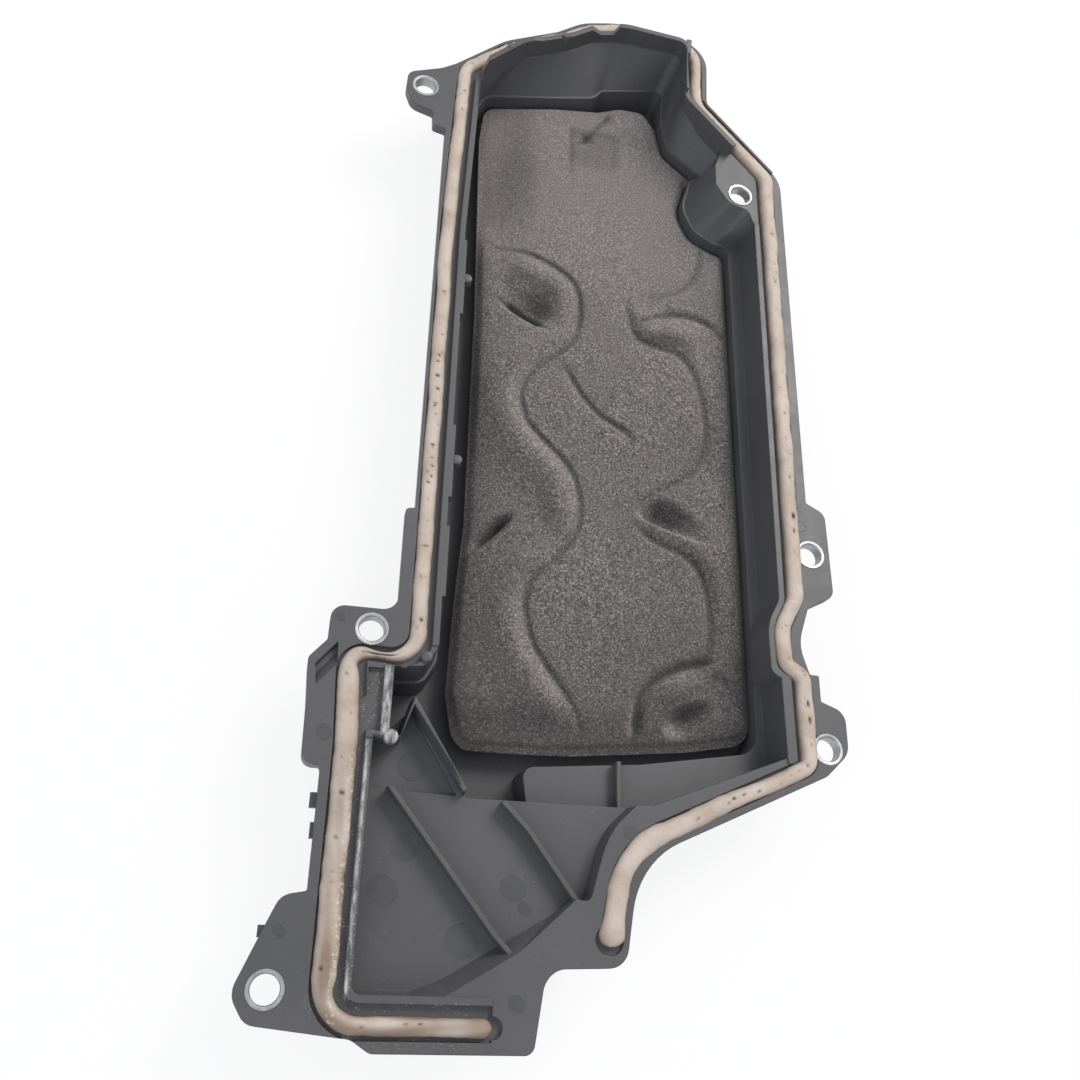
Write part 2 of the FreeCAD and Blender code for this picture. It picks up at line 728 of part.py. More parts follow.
def side_block():
    """Deep box section at the lower left, and the pocket in its face whose floor slopes up."""
    x, y = SCREWS["left_middle"]
    inside = SEAL_COLUMN - GROOVE_OUT_COLUMN - 0.4
    form = [
        (x - 19.3, y - 47.6, 4.0),
        (x - 19.8, y - 27.0, 20.0),
        (x - 20.8, y - 12.2, 3.0),
        (x - 14.8, y - 5.2, 2.0),
        (inside, y - 2.6, 1.0),
        (inside, y - 47.6, 1.0),
    ]
    block = prism(form, -BLOCK_DEPTH, 0.0)
    core = prism(grown(form, -BLOCK_WALL), -BLOCK_DEPTH - CUT_OVER, -FLANGE_THICKNESS)
    pocket = [
        (x - 17.2, y - 22.4, 0.0),
        (x - 18.2, y - 14.2, 0.0),
        (inside - 1.2, y - 5.6, 0.0),
        (inside - 0.8, y - 14.5, 0.0),
    ]
    floor = [
        (x - 17.8, y - 17.2, 0.0),
        (x - 18.0, y - 14.4, 0.0),
        (inside - 1.4, y - 6.0, 0.0),
        (inside - 1.2, y - 9.0, 0.0),
    ]
    hollow = between(pocket, CUT_OVER / 2, floor, -POCKET_DEPTH)
    return block, core, hollow


def edge_tabs():
    """Small tabs that stand out behind the lower left edge."""
    left = SEAL_COLUMN - 7.6
    x, y = SCREWS["left_middle"]
    first = Part.makeBox(3.4, 4.8, TAB_DEPTH, Vector(left - 2.2, y - 62.0, -FLANGE_THICKNESS - 1.5))
    second = Part.makeBox(2.6, 5.0, TAB_DEPTH, Vector(left - 1.2, y - 71.8, -FLANGE_THICKNESS - 1.5))
    x, y = SCREWS["lower_left"]
    third = Part.makeBox(3.4, 3.6, TAB_DEPTH, Vector(x - 4.4, y + 15.0, -FLANGE_THICKNESS - 1.5))
    return [first, second, third]


def housing():
    """The one-piece moulding."""
    body = prism(flange_outline(), -FLANGE_THICKNESS, 0.0)
    block, core, pocket = side_block()
    body = body.fuse(shell() + [block])
    body = body.cut([cavity(), core, pocket])
    upstands = [lip(), column_lip(), outer_lip(), rim(), guard_lip()]
    body = body.fuse(upstands + [screw_plate(), floor_ribs()] + edge_tabs())
    cuts = [seal_groove(), corner_floor(), column_land()]
    for x, y in SCREWS.values():
        cuts.append(disc(x, y, LIMITER_RADIUS, -FLANGE_THICKNESS - CUT_OVER, CUT_OVER))
    return body.cut(cuts)


def seal():
    """Foamed seal: one bead with a rounded back that follows the groove, and its two ends."""
    half = SEAL_WIDTH / 2
    route = seal_route()
    start = route[0]
    direction = unit(start, route[1])
    base = Vector(start[0], start[1], -GROOVE_DEPTH)
    across = Vector(direction[1], -direction[0], 0)
    up = Vector(0, 0, 1)
    section = Part.makePolygon([base + across * x + up * height for x, height in seal_section(half)])
    spine = outline(route, closed=False, flattest=0.0)
    spine.translate(Vector(0, 0, -GROOVE_DEPTH))
    bead = spine.makePipeShell([section], True, False)
    bead = bead.fuse([seal_end(x, y, radius) for x, y, radius in seal_ends()])
    sleeves = [disc(x, y, LIMITER_RADIUS, -GROOVE_DEPTH, LIMITER_PROUD) for x, y in SCREWS.values()]
    return bead.cut(sleeves)


def seal_ends():
    """Middle and radius of each round end of the seal."""
    first = seal_route()[0]
    last = seal_route()[-1]
    return [
        (first[0], first[1], SEAL_WIDTH / 2),
        (last[0] + 0.4, last[1] + 2.0, SEAL_END_RADIUS),
    ]


def seal_section(half):
    """Closed section of the bead across its middle: upright sides, a bevel and a narrow crown."""
    top = GROOVE_DEPTH + SEAL_CROWN
    crown = half * SEAL_CROWN_SHARE
    return [
        (-half, 0.0),
        (half, 0.0),
        (half, SEAL_SIDE),
        (crown, top),
        (-crown, top),
        (-half, SEAL_SIDE),
        (-half, 0.0),
    ]


def seal_end(x, y, radius):
    """Round end of the seal, as a solid of revolution with the bead's own section."""
    half_section = [(0.0, 0.0)] + seal_section(radius)[1:4] + [(0.0, GROOVE_DEPTH + SEAL_CROWN)]
    return turned(x, y, [(r, height - GROOVE_DEPTH) for r, height in half_section])


def pad():
    """Moulded sound-deadening pad with a bevelled edge and its pressed-in relief."""
    low = -TUB_DEPTH
    high = low + PAD_THICKNESS
    edge = high - PAD_EDGE_DROP
    body = tapered(pad_outline(), edge, low, PAD_DRAFT)
    body = body.fuse(tapered(pad_outline(), edge, high, PAD_EDGE_ROUND))
    return body.cut([prism(points, high - depth, high + CUT_OVER) for points, depth in pad_relief()])


def pad_relief():
    """Outlines pressed into the face of the pad, each with its depth."""
    left = SEAL_LEFT + PAD_MARGIN_LEFT
    right = inner_edge()[at("right_top")][0] - SHELF_WIDTH
    low = STEP_Y
    upper_bowl = [
        (left + 9.0, low + 216.0, 0.0),
        (left + 6.0, low + 238.0, 8.0),
        (left + 24.0, low + 249.0, 14.0),
        (left + 45.0, low + 236.0, 14.0),
        (left + 49.0, low + 208.0, 12.0),
        (left + 38.0, low + 194.0, 8.0),
        (left + 27.0, low + 205.0, 0.0),
    ]
    lower_bowl = [
        (left + 5.0, low + 98.0, 0.0),
        (left + 20.0, low + 116.0, 0.0),
        (left + 8.0, low + 132.0, 8.0),
        (left + 16.0, low + 156.0, 8.0),
        (left + 26.0, low + 156.0, 0.0),
        (left + 46.0, low + 137.0, 12.0),
        (left + 49.0, low + 112.0, 12.0),
        (left + 31.0, low + 92.0, 8.0),
    ]
    upper_wedge = [
        (right - 48.5, low + 124.0, 0.0),
        (right - 42.0, low + 130.0, 0.0),
        (right - 14.0, low + 117.0, 0.0),
        (right - 28.0, low + 110.0, 0.0),
    ]
    lower_wedge = [
        (right - 47.5, low + 36.0, 0.0),
        (right - 47.0, low + 48.0, 0.0),
        (right - 17.0, low + 54.0, 0.0),
        (right - 20.0, low + 42.0, 0.0),
        (right - 36.0, low + 34.0, 0.0),
    ]
    square = [
        (left + 41.0, low + 299.0, 0.0),
        (left + 41.0, low + 325.0, 0.0),
        (left + 60.0, low + 327.0, 0.0),
        (left + 60.0, low + 299.0, 0.0),
    ]
    crescent = [
        (right - 35.0, low + 221.0, 0.0),
        (right - 18.0, low + 226.5, 10.0),
        (right - 5.5, low + 214.0, 0.0),
        (right - 17.0, low + 220.5, 8.0),
    ]
    deep = PAD_RELIEF
    return [
        (upper_bowl, deep),
        (lower_bowl, deep),
        (upper_wedge, deep),
        (lower_wedge, deep),
        (square, deep * 0.7),
        (crescent, deep * 0.7),
    ]


def limiter(x, y):
    """Metal compression sleeve that the screw passes through."""
    high = LIMITER_PROUD
    low = -FLANGE_THICKNESS - LIMITER_PROUD / 2
    inner = LIMITER_BORE_RADIUS
    outer = LIMITER_RADIUS
    return turned(x, y, [(inner, low), (outer, low), (outer, high), (inner, high)])


def main():
    """Write every piece of the cover to its own file."""
    os.makedirs("parts", exist_ok=True)
    pieces = {
        "cover_housing": housing(),
        "foam_seal": seal(),
        "acoustic_pad": pad(),
    }
    for name, (x, y) in SCREWS.items():
        pieces["limiter_" + name] = limiter(x, y)
    for name, shape in pieces.items():
        solid = shape.removeSplitter()
        solid.exportStep("parts/" + name + ".step")
        print(name, "solids", len(solid.Solids), "valid", solid.isValid(), "volume", round(solid.Volume))


if __name__ == "__main__":
    main()
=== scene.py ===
import math

import bpy
import numpy as np
from mathutils import Matrix, Vector


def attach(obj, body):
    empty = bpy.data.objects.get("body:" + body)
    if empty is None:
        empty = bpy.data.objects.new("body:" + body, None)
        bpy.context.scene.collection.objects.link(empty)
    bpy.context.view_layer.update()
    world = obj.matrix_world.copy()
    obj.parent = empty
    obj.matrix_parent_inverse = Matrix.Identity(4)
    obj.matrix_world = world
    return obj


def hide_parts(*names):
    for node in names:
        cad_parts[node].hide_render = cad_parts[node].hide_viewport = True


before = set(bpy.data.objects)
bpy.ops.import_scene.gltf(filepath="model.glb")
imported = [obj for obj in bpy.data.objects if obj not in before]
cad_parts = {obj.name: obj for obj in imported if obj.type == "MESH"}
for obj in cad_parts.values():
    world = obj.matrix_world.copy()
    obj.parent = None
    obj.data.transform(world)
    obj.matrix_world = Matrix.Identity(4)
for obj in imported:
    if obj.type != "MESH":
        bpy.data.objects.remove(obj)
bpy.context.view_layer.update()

MM = 0.001

# Sizes shared with the solids, in millimetres
GROOVE_DEPTH = 2.0
SEAL_WIDTH = 5.6
SEAL_CROWN = 1.8
TUB_DEPTH = 32.0
BACK = 34.5
PAD_TOP = -20.0
SLEEVE_TOP = 0.3
SLEEVE_FOOT = -4.65
SCREWS = {
    "lower_left": (0.0, 0.0),
    "left_middle": (22.4, 117.4),
    "top_left": (24.7, 373.9),
    "top_right": (174.3, 345.8),
    "right_middle": (194.4, 166.0),
    "right_lower": (194.8, 87.1),
}

# How finely the curved pieces are divided
BEAD_STEP = 0.5
BEAD_SIDES = 26
PAD_ROWS = 440
PAD_COLUMNS = 186
SLEEVE_STEPS = 96
BOSS_STEPS = 40

# Middle of the seal: corner points with the radius of the bend at each
SEAL_ROUTE = [
    (70.6, -9.6, 0.0),
    (17.1, -9.6, 11.5),
    (17.1, 76.2, 150.0),
    (15.2, 109.1, 5.5),
    (38.8, 107.3, 9.5),
    (39.0, 298.0, 300.0),
    (42.0, 389.0, 12.0),
    (62.5, 408.0, 25.0),
    (87.5, 421.0, 30.0),
    (99.5, 430.2, 20.0),
    (116.0, 435.0, 30.0),
    (155.5, 433.4, 12.0),
    (154.0, 396.5, 15.0),
    (188.0, 359.1, 10.0),
    (186.6, 146.5, 14.0),
    (179.5, 133.0, 14.0),
    (179.7, 118.8, 5.5),
    (186.9, 114.5, 5.0),
    (187.2, 80.2, 5.0),
    (114.9, 47.2, 36.0),
    (108.9, 15.5, 0.0),
]

# Edge of the pad: corner points with the radius at each, clockwise from its lower left corner
PAD_OUTLINE = [
    (56.6, 81.4, 9.0),
    (52.6, 102.0, 12.0),
    (53.8, 138.0, 30.0),
    (56.0, 172.0, 60.0),
    (55.6, 272.0, 80.0),
    (53.2, 369.8, 30.0),
    (55.0, 390.3, 8.0),
    (89.5, 399.2, 40.0),
    (112.0, 402.6, 10.0),
    (123.0, 407.8, 10.0),
    (135.0, 407.8, 8.0),
    (141.1, 398.1, 0.0),
    (144.3, 381.5, 11.0),
    (160.7, 368.1, 0.0),
    (155.9, 366.9, 6.0),
    (150.4, 347.4, 15.0),
    (156.5, 333.4, 11.0),
    (167.3, 328.1, 7.0),
    (173.6, 326.4, 4.0),
    (173.6, 92.0, 10.0),
    (147.0, 87.0, 60.0),
    (96.0, 81.8, 60.0),
]


def linear(hex_colour):
    """Linear colour with alpha 1 from an sRGB hex value."""
    channels = [int(hex_colour[i:i + 2], 16) / 255 for i in (1, 3, 5)]
    bent = [c / 12.92 if c <= 0.04045 else ((c + 0.055) / 1.055) ** 2.4 for c in channels]
    return (*bent, 1.0)


def add_node(tree, kind, links=None, **settings):
    """Adds a shader node, sets its properties and input values, and links its inputs."""
    new = tree.nodes.new(kind)
    inputs = settings.pop("inputs", {})
    for name, value in settings.items():
        setattr(new, name, value)
    for name, value in inputs.items():
        new.inputs[name].default_value = value
    for name, source in (links or {}).items():
        tree.links.new(source, new.inputs[name])
    return new


# Shapes worked out on arrays

def smooth_step(value, low, high):
    """0 below low, 1 above high, and a cubic ease between them."""
    share = np.clip((value - low) / (high - low), 0.0, 1.0)
    return share * share * (3.0 - 2.0 * share)


def ease_down(value, low, high):
    """1 below low, 0 above high, and a cubic ease between them."""
    return smooth_step(-value, -high, -low)


def bell(value, width):
    """Bell curve of height 1: e to the minus square of value over width."""
    return np.exp(-(value / width) ** 2)


def ripple(count, seed, *places, size):
    """Smooth random height from about -1 to 1: a sum of sine waves of about the given size with
    directions and phases drawn from the seed."""
    rng = np.random.default_rng(seed)
    total = np.zeros_like(places[0])
    for _ in range(count):
        direction = rng.normal(size=len(places))
        direction /= np.linalg.norm(direction)
        wave = 2 * math.pi / (size * rng.uniform(0.7, 1.5))
        phase = rng.uniform(0, 2 * math.pi)
        total += np.sin(wave * sum(d * p for d, p in zip(direction, places)) + phase)
    return total / math.sqrt(count)


def rounded_line(corners, step, closed=False):
    """Points every step along straight runs joined by arcs: each corner is cut back to its arc's
    two ends, the arc is sampled by angle, and the whole line is then divided evenly."""
    count = len(corners)
    pieces = []
    for i, (x, y, radius) in enumerate(corners):
        here = np.array([x, y])
        if radius <= 0 or (not closed and i in (0, count - 1)):
            pieces.append(here[None])
            continue
        before = np.array(corners[i - 1][:2]) - here
        after = np.array(corners[(i + 1) % count][:2]) - here
        back = before / np.linalg.norm(before)
        on = after / np.linalg.norm(after)
        half = math.acos(np.clip(back @ on, -1, 1)) / 2
        if math.pi / 2 - half < 0.002:
            pieces.append(here[None])
            continue
        room = 0.48 * min(np.linalg.norm(before), np.linalg.norm(after))
        reach = min(radius / math.tan(half), room)
        bend = reach * math.tan(half)
        middle = here + (back + on) / np.linalg.norm(back + on) * bend / math.sin(half)
        start = here + back * reach - middle
        end = here + on * reach - middle
        turn = math.pi - 2 * half
        share = np.linspace(0, 1, max(3, int(turn * bend / step) + 2))[:, None]
        arc = (np.sin((1 - share) * turn) * start + np.sin(share * turn) * end) / math.sin(turn)
        pieces.append(middle + arc)
    line = np.vstack(pieces)
    if closed:
        line = np.vstack([line, line[:1]])
    lengths = np.concatenate([[0], np.cumsum(np.linalg.norm(np.diff(line, axis=0), axis=1))])
    even = np.linspace(0, lengths[-1], int(lengths[-1] / step) + 1)
    return np.stack([np.interp(even, lengths, line[:, k]) for k in (0, 1)], axis=1)


def to_line(x, y, corners):
    """For each place: distance to a line of points, +1 on its left or -1 on its right, and how far
    along the line the nearest point lies, from 0 to 1."""
    corners = np.asarray(corners, float)
    runs = np.diff(corners, axis=0)
    lengths = np.linalg.norm(runs, axis=1)
    before = np.concatenate([[0], np.cumsum(lengths)[:-1]])
    best = np.full(x.shape, 1e9)
    side = np.ones(x.shape)
    share = np.zeros(x.shape)
    for start, run, length, done in zip(corners[:-1], runs, lengths, before):
        from_x, from_y = x - start[0], y - start[1]
        along = np.clip((from_x * run[0] + from_y * run[1]) / length ** 2, 0, 1)
        off_x, off_y = from_x - along * run[0], from_y - along * run[1]
        distance = np.hypot(off_x, off_y)
        closer = distance < best
        best = np.where(closer, distance, best)
        side = np.where(closer, np.sign(run[0] * off_y - run[1] * off_x), side)
        share = np.where(closer, (done + along * length) / lengths.sum(), share)
    return best, side, share


def make_mesh(name, points, faces, material, smooth=True):
    """Object from points in millimetres and faces, turned outwards by the sign of its volume."""
    corners = points[faces[:, :3]]
    if np.einsum("ij,ij->i", corners[:, 0], np.cross(corners[:, 1], corners[:, 2])).sum() < 0:
        faces = faces[:, ::-1]
    mesh = bpy.data.meshes.new(name)
    mesh.vertices.add(len(points))
    mesh.vertices.foreach_set("co", (points * MM).astype(np.float32).ravel())
    sides = faces.shape[1]
    mesh.loops.add(faces.size)
    mesh.loops.foreach_set("vertex_index", faces.ravel().astype(np.int32))
    mesh.polygons.add(len(faces))
    mesh.polygons.foreach_set("loop_start", np.arange(0, faces.size, sides, dtype=np.int32))
    mesh.polygons.foreach_set("use_smooth", np.full(len(faces), smooth))
    mesh.update(calc_edges=True)
    mesh.validate()
    piece = bpy.data.objects.new(name, mesh)
    bpy.context.scene.collection.objects.link(piece)
    mesh.materials.append(material)
    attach(piece, "root")
    return piece


def triangles(quads):
    """Two triangles for each quad."""
    return np.vstack([quads[:, [0, 1, 2]], quads[:, [0, 2, 3]]])


def tube_faces(rings, sides):
    """Triangles of a tube of closed rings, with a pole point after the rings at each end."""
    i, j = np.meshgrid(np.arange(rings - 1), np.arange(sides), indexing="ij")
    k = (j + 1) % sides
    quads = np.stack([i * sides + j, i * sides + k, (i + 1) * sides + k, (i + 1) * sides + j], -1)
    j = np.arange(sides)
    k = (j + 1) % sides
    last = (rings - 1) * sides
    first_cap = np.stack([np.full(sides, rings * sides), k, j], -1)
    last_cap = np.stack([np.full(sides, rings * sides + 1), last + j, last + k], -1)
    return np.vstack([triangles(quads.reshape(-1, 4)), first_cap, last_cap])


def set_attribute(piece, name, values):
    """Stores one number for each vertex under the name."""
    layer = piece.data.attributes.new(name, "FLOAT", "POINT")
    layer.data.foreach_set("value", values.astype(np.float32).ravel())


# Materials

def new_material(name):
    """Empty node material and its principled shader."""
    material = bpy.data.materials.new(name)
    material.use_nodes = True
    tree = material.node_tree
    tree.nodes.clear()
    output = add_node(tree, "ShaderNodeOutputMaterial")
    shader = add_node(tree, "ShaderNodeBsdfPrincipled")
    tree.links.new(shader.outputs["BSDF"], output.inputs["Surface"])
    return material, tree, shader


def object_place(tree):
    """The place on the object, in metres."""
    return add_node(tree, "ShaderNodeTexCoord").outputs["Object"]


def noise(tree, place, size_mm, detail=3.0, roughness=0.55):
    """Cloudy pattern whose patches are about the size in millimetres."""
    links = {"Vector": place}
    values = {"Scale": 1.0 / (size_mm * MM), "Detail": detail, "Roughness": roughness}
    return add_node(tree, "ShaderNodeTexNoise", links, inputs=values).outputs["Fac"]


def ramp(tree, value, stops):
    """Colours that follow a value, from (position, hex) stops."""
    new = add_node(tree, "ShaderNodeValToRGB", {"Fac": value})
    colours = new.color_ramp
    while len(colours.elements) < len(stops):
        colours.elements.new(0.5)
    for element, (position, colour) in zip(colours.elements, stops):
        element.position = position
        element.color = linear(colour)
    return new.outputs["Color"]


def levels(tree, value, low, high, to_low=0.0, to_high=1.0):
    """The value stretched so that low to high becomes to_low to to_high, and held there."""
    values = {"From Min": low, "From Max": high, "To Min": to_low, "To Max": to_high}
    return add_node(tree, "ShaderNodeMapRange", {"Value": value}, inputs=values).outputs["Result"]


def calculate(tree, operation, first, second=None):
    """One step of arithmetic on values that are links or numbers."""
    new = add_node(tree, "ShaderNodeMath", operation=operation)
    for socket, value in zip(new.inputs, (first, second)):
        if value is None:
            continue
        if isinstance(value, (int, float)):
            socket.default_value = value
        else:
            tree.links.new(value, socket)
    return new.outputs["Value"]


def mix_colour(tree, factor, first, second):
    """The first colour where the factor is 0 and the second where it is 1."""
    new = add_node(tree, "ShaderNodeMix", {"Factor": factor}, data_type="RGBA")
    for socket, value in ((new.inputs[6], first), (new.inputs[7], second)):
        if isinstance(value, str):
            socket.default_value = linear(value)
        else:
            tree.links.new(value, socket)
    return new.outputs[2]


def bump(tree, height, depth_mm, strength=1.0, under=None):
    """Surface normal of a height pattern of the given depth, on top of another normal."""
    links = {"Height": height}
    if under is not None:
        links["Normal"] = under
    values = {"Distance": depth_mm * MM, "Strength": strength}
    return add_node(tree, "ShaderNodeBump", links, inputs=values).outputs["Normal"]


def moulded_plastic():
    """Glass-filled polyamide, injection moulded: dark grey with a fine satin grain, edges that the
    mould rounds, faint rub marks, specks of dust and a pale chalky residue along the lower left
    groove."""
    material, tree, shader = new_material("moulded_filled_polyamide")
    place = object_place(tree)
    cloud = noise(tree, place, 60.0, 4.0)
    grain = noise(tree, place, 0.7, 2.0)
    scuff = noise(tree, place, 9.0, 6.0, 0.7)
    base = ramp(tree, cloud, [(0.3, "#4e4e4f"), (0.7, "#585758")])
    rubbed = levels(tree, scuff, 0.58, 0.78, 0.0, 0.35)
    base = mix_colour(tree, rubbed, base, "#69696b")
    dust = levels(tree, noise(tree, place, 1.3, 3.0, 0.6), 0.66, 0.72, 0.0, 0.35)
    base = mix_colour(tree, dust, base, "#8b8a88")
    chalk = residue(tree, place)
    base = mix_colour(tree, chalk, base, "#c9c8c4")
    tree.links.new(base, shader.inputs["Base Color"])
    rough = levels(tree, scuff, 0.3, 0.8, 0.4, 0.55)
    tree.links.new(rough, shader.inputs["Roughness"])
    shader.inputs["IOR"].default_value = 1.5
    edge = add_node(tree, "ShaderNodeBevel", inputs={"Radius": 0.6 * MM}, samples=4)
    tree.links.new(bump(tree, grain, 0.02, 0.5, edge.outputs["Normal"]), shader.inputs["Normal"])
    return material


def band(tree, value, low, high, soft):
    """1 between low and high in metres, easing to 0 over the soft width."""
    rising = levels(tree, value, low - soft, low + soft)
    falling = levels(tree, value, high - soft, high + soft, 1.0, 0.0)
    return calculate(tree, "MULTIPLY", rising, falling)


def residue(tree, place):
    """Where pale residue lies: scraped along the top of the lip beside the column and on the pin at
    its end, and strewn as grit in the groove. A strip is its reach along X and Y in millimetres and
    the pattern that fills it."""
    split = add_node(tree, "ShaderNodeSeparateXYZ", {"Vector": place})
    x, y, z = (split.outputs[k] for k in "XYZ")
    drawn = add_node(tree, "ShaderNodeMapping", {"Vector": place}, inputs={"Scale": (1.0, 0.22, 0.6)})
    smear = levels(tree, noise(tree, drawn.outputs["Vector"], 1.3, 5.0, 0.72), 0.4, 0.62, 0.0, 0.85)
    grit = levels(tree, noise(tree, place, 0.8, 4.0, 0.7), 0.61, 0.67, 0.0, 0.8)
    strips = [
        (23.8, 24.9, -3.0, 78.0, smear),
        (28.2, 31.0, 80.0, 104.0, smear),
        (29.6, 34.2, 77.4, 82.0, smear),
        (12.6, 26.4, -8.0, 78.0, grit),
        (20.6, 66.0, -16.0, -2.8, grit),
        (20.6, 31.4, 79.0, 106.0, grit),
    ]
    total = None
    for x_low, x_high, y_low, y_high, pattern in strips:
        across = band(tree, x, x_low * MM, x_high * MM, 0.4 * MM)
        along = band(tree, y, y_low * MM, y_high * MM, 1.0 * MM)
        strip = calculate(tree, "MULTIPLY", across, along)
        strip = calculate(tree, "MULTIPLY", strip, pattern)
        total = strip if total is None else calculate(tree, "MAXIMUM", total, strip)
    near_face = levels(tree, z, -3.5 * MM, -1.5 * MM)
    return calculate(tree, "MULTIPLY", total, near_face)


def smooth_plastic():
    """The same polyamide where a steel pin pushed it out of the mould: a little darker and sleeker."""
    material, tree, shader = new_material("pin_marked_polyamide")
    cloud = noise(tree, object_place(tree), 8.0, 3.0)
    tree.links.new(ramp(tree, cloud, [(0.3, "#484849"), (0.7, "#505050")]), shader.inputs["Base Color"])
    shader.inputs["Roughness"].default_value = 0.42
    return material


def foamed_seal():
    """Polyurethane foamed in place: a dull pinkish cream skin, browner in grimy patches and with
    painted shade along the bead's foot, with a pale crust on the inner side of its lower left run
    and small open pits that painted shade makes nearly black."""
    material, tree, shader = new_material("foamed_polyurethane_skin")
    place = object_place(tree)
    patch = noise(tree, place, 14.0, 5.0, 0.6)
    fine = noise(tree, place, 0.9, 4.0, 0.65)
    base = ramp(tree, patch, [(0.25, "#ab9887"), (0.5, "#bfb0a2"), (0.75, "#ccc0b5")])
    base = mix_colour(tree, levels(tree, fine, 0.55, 0.8, 0.0, 0.5), base, "#a08b79")
    # Browner with grime in patches, and with painted shade along the bead's foot.
    dirt_and_shade = add_node(tree, "ShaderNodeAttribute", attribute_name="dirt_and_shade").outputs["Fac"]
    base = mix_colour(tree, dirt_and_shade, base, "#8d7a69")
    split = add_node(tree, "ShaderNodeSeparateXYZ", {"Vector": place})
    edge = band(tree, split.outputs["X"], 19.0 * MM, 21.4 * MM, 0.5 * MM)
    edge = calculate(tree, "MULTIPLY", edge, levels(tree, split.outputs["Y"], 76.0 * MM, 70.0 * MM))
    crust = levels(tree, noise(tree, place, 1.4, 5.0, 0.75), 0.52, 0.6, 0.0, 0.8)
    base = mix_colour(tree, calculate(tree, "MULTIPLY", edge, crust), base, "#dcd4bd")
    # Painted shade: the open pits are darkened nearly to black by their depth.
    pit_and_shade = add_node(tree, "ShaderNodeAttribute", attribute_name="pit_and_shade").outputs["Fac"]
    base = mix_colour(tree, pit_and_shade, base, "#3b2d22")
    tree.links.new(base, shader.inputs["Base Color"])
    shader.inputs["Roughness"].default_value = 0.62
    shader.inputs["IOR"].default_value = 1.45
    tree.links.new(bump(tree, fine, 0.12, 0.6), shader.inputs["Normal"])
    return material


def pressed_felt():
    """Needled recycled-fibre felt, pressed in a mould: charcoal with fine pale and dark flecks, dull,
    with a soft sheen. Light and shade are painted into its colour: it is lighter on slopes that lean
    to the upper right, towards the key lamp, and paler and flatter towards its top, and painted shade
    darkens its hollows, creases, edges, left side and foot. The flecks are drawn at 0.85 mm, coarser
    than the fibres are, so that they show."""
    material, tree, shader = new_material("pressed_fibre_felt")
    place = object_place(tree)
    stretch = add_node(tree, "ShaderNodeMapping", {"Vector": place}, inputs={"Scale": (1.0, 1.0, 0.5)})
    place = stretch.outputs["Vector"]
    fleck = noise(tree, place, 0.85, 3.0, 0.8)
    fibre = noise(tree, place, 2.6, 5.0, 0.8)
    cloud = noise(tree, place, 40.0, 3.0)
    base = ramp(tree, fleck, [(0.36, "#292726"), (0.46, "#4d4a47"), (0.55, "#6e6966"), (0.65, "#b0a9a3")])
    base = mix_colour(tree, levels(tree, fibre, 0.42, 0.66, 0.0, 0.45), base, "#7f7a76")
    base = mix_colour(tree, levels(tree, cloud, 0.4, 0.7, 0.0, 0.3), base, "#4c4947")
    split = add_node(tree, "ShaderNodeSeparateXYZ", {"Vector": object_place(tree)})
    # Painted shade: darker towards the pad's lower end.
    foot = levels(tree, split.outputs["Y"], 84.0 * MM, 170.0 * MM, 0.35, 0.0)
    base = mix_colour(tree, foot, base, "#393635")
    # Painted shade: darker towards the pad's left side.
    side = levels(tree, split.outputs["X"], 54.0 * MM, 82.0 * MM, 0.3, 0.0)
    base = mix_colour(tree, side, base, "#3c3a3a")
    # Lighter flecks for painted light, used towards the pad's top and on slopes that face the key lamp.
    painted_light_flecks = ramp(tree, fleck, [(0.34, "#4b4744"), (0.47, "#77726e"), (0.56, "#96908b"), (0.68, "#c2bbb5")])
    # Painted light: paler and flatter towards the pad's top.
    painted_top_light = levels(tree, split.outputs["Y"], 230.0 * MM, 320.0 * MM, 0.0, 0.4)
    base = mix_colour(tree, painted_top_light, base, painted_light_flecks)
    painted_top_wash = levels(tree, split.outputs["Y"], 260.0 * MM, 360.0 * MM, 0.0, 0.4)
    base = mix_colour(tree, painted_top_wash, base, "#75706d")
    # Darker flecks for painted shade. Painted light and shade by slope: lighter where the face leans to
    # the upper right, towards the key lamp, and darker where it leans away.
    painted_shade_flecks = ramp(tree, fleck, [(0.34, "#1b1a19"), (0.47, "#2c2a29"), (0.56, "#3b3837"), (0.68, "#5b5754")])
    painted_slope_light = add_node(tree, "ShaderNodeAttribute", attribute_name="painted_slope_light").outputs["Fac"]
    base = mix_colour(tree, levels(tree, painted_slope_light, 0.04, 0.45, 0.0, 0.85), base, painted_light_flecks)
    base = mix_colour(tree, levels(tree, painted_slope_light, -0.4, -0.03, 0.9, 0.0), base, painted_shade_flecks)
    # Painted shade: darker where the face lies deeper below the plateau, and on the pad's lower wall.
    depth = add_node(tree, "ShaderNodeAttribute", attribute_name="depth").outputs["Fac"]
    base = mix_colour(tree, levels(tree, depth, 2.0, 8.0, 0.0, 0.7), base, "#242221")
    # Painted shade in the creases, along the hem, near the edge and in the pressed square.
    fold_shade = add_node(tree, "ShaderNodeAttribute", attribute_name="fold_shade").outputs["Fac"]
    base = mix_colour(tree, calculate(tree, "MULTIPLY", fold_shade, 0.62), base, "#201f1e")
    tree.links.new(base, shader.inputs["Base Color"])
    shader.inputs["Roughness"].default_value = 0.92
    shader.inputs["Sheen Weight"].default_value = 0.15
    shader.inputs["Sheen Roughness"].default_value = 0.5
    coarse = bump(tree, fibre, 0.5, 0.6)
    tree.links.new(bump(tree, fleck, 0.3, 0.7, coarse), shader.inputs["Normal"])
    return material


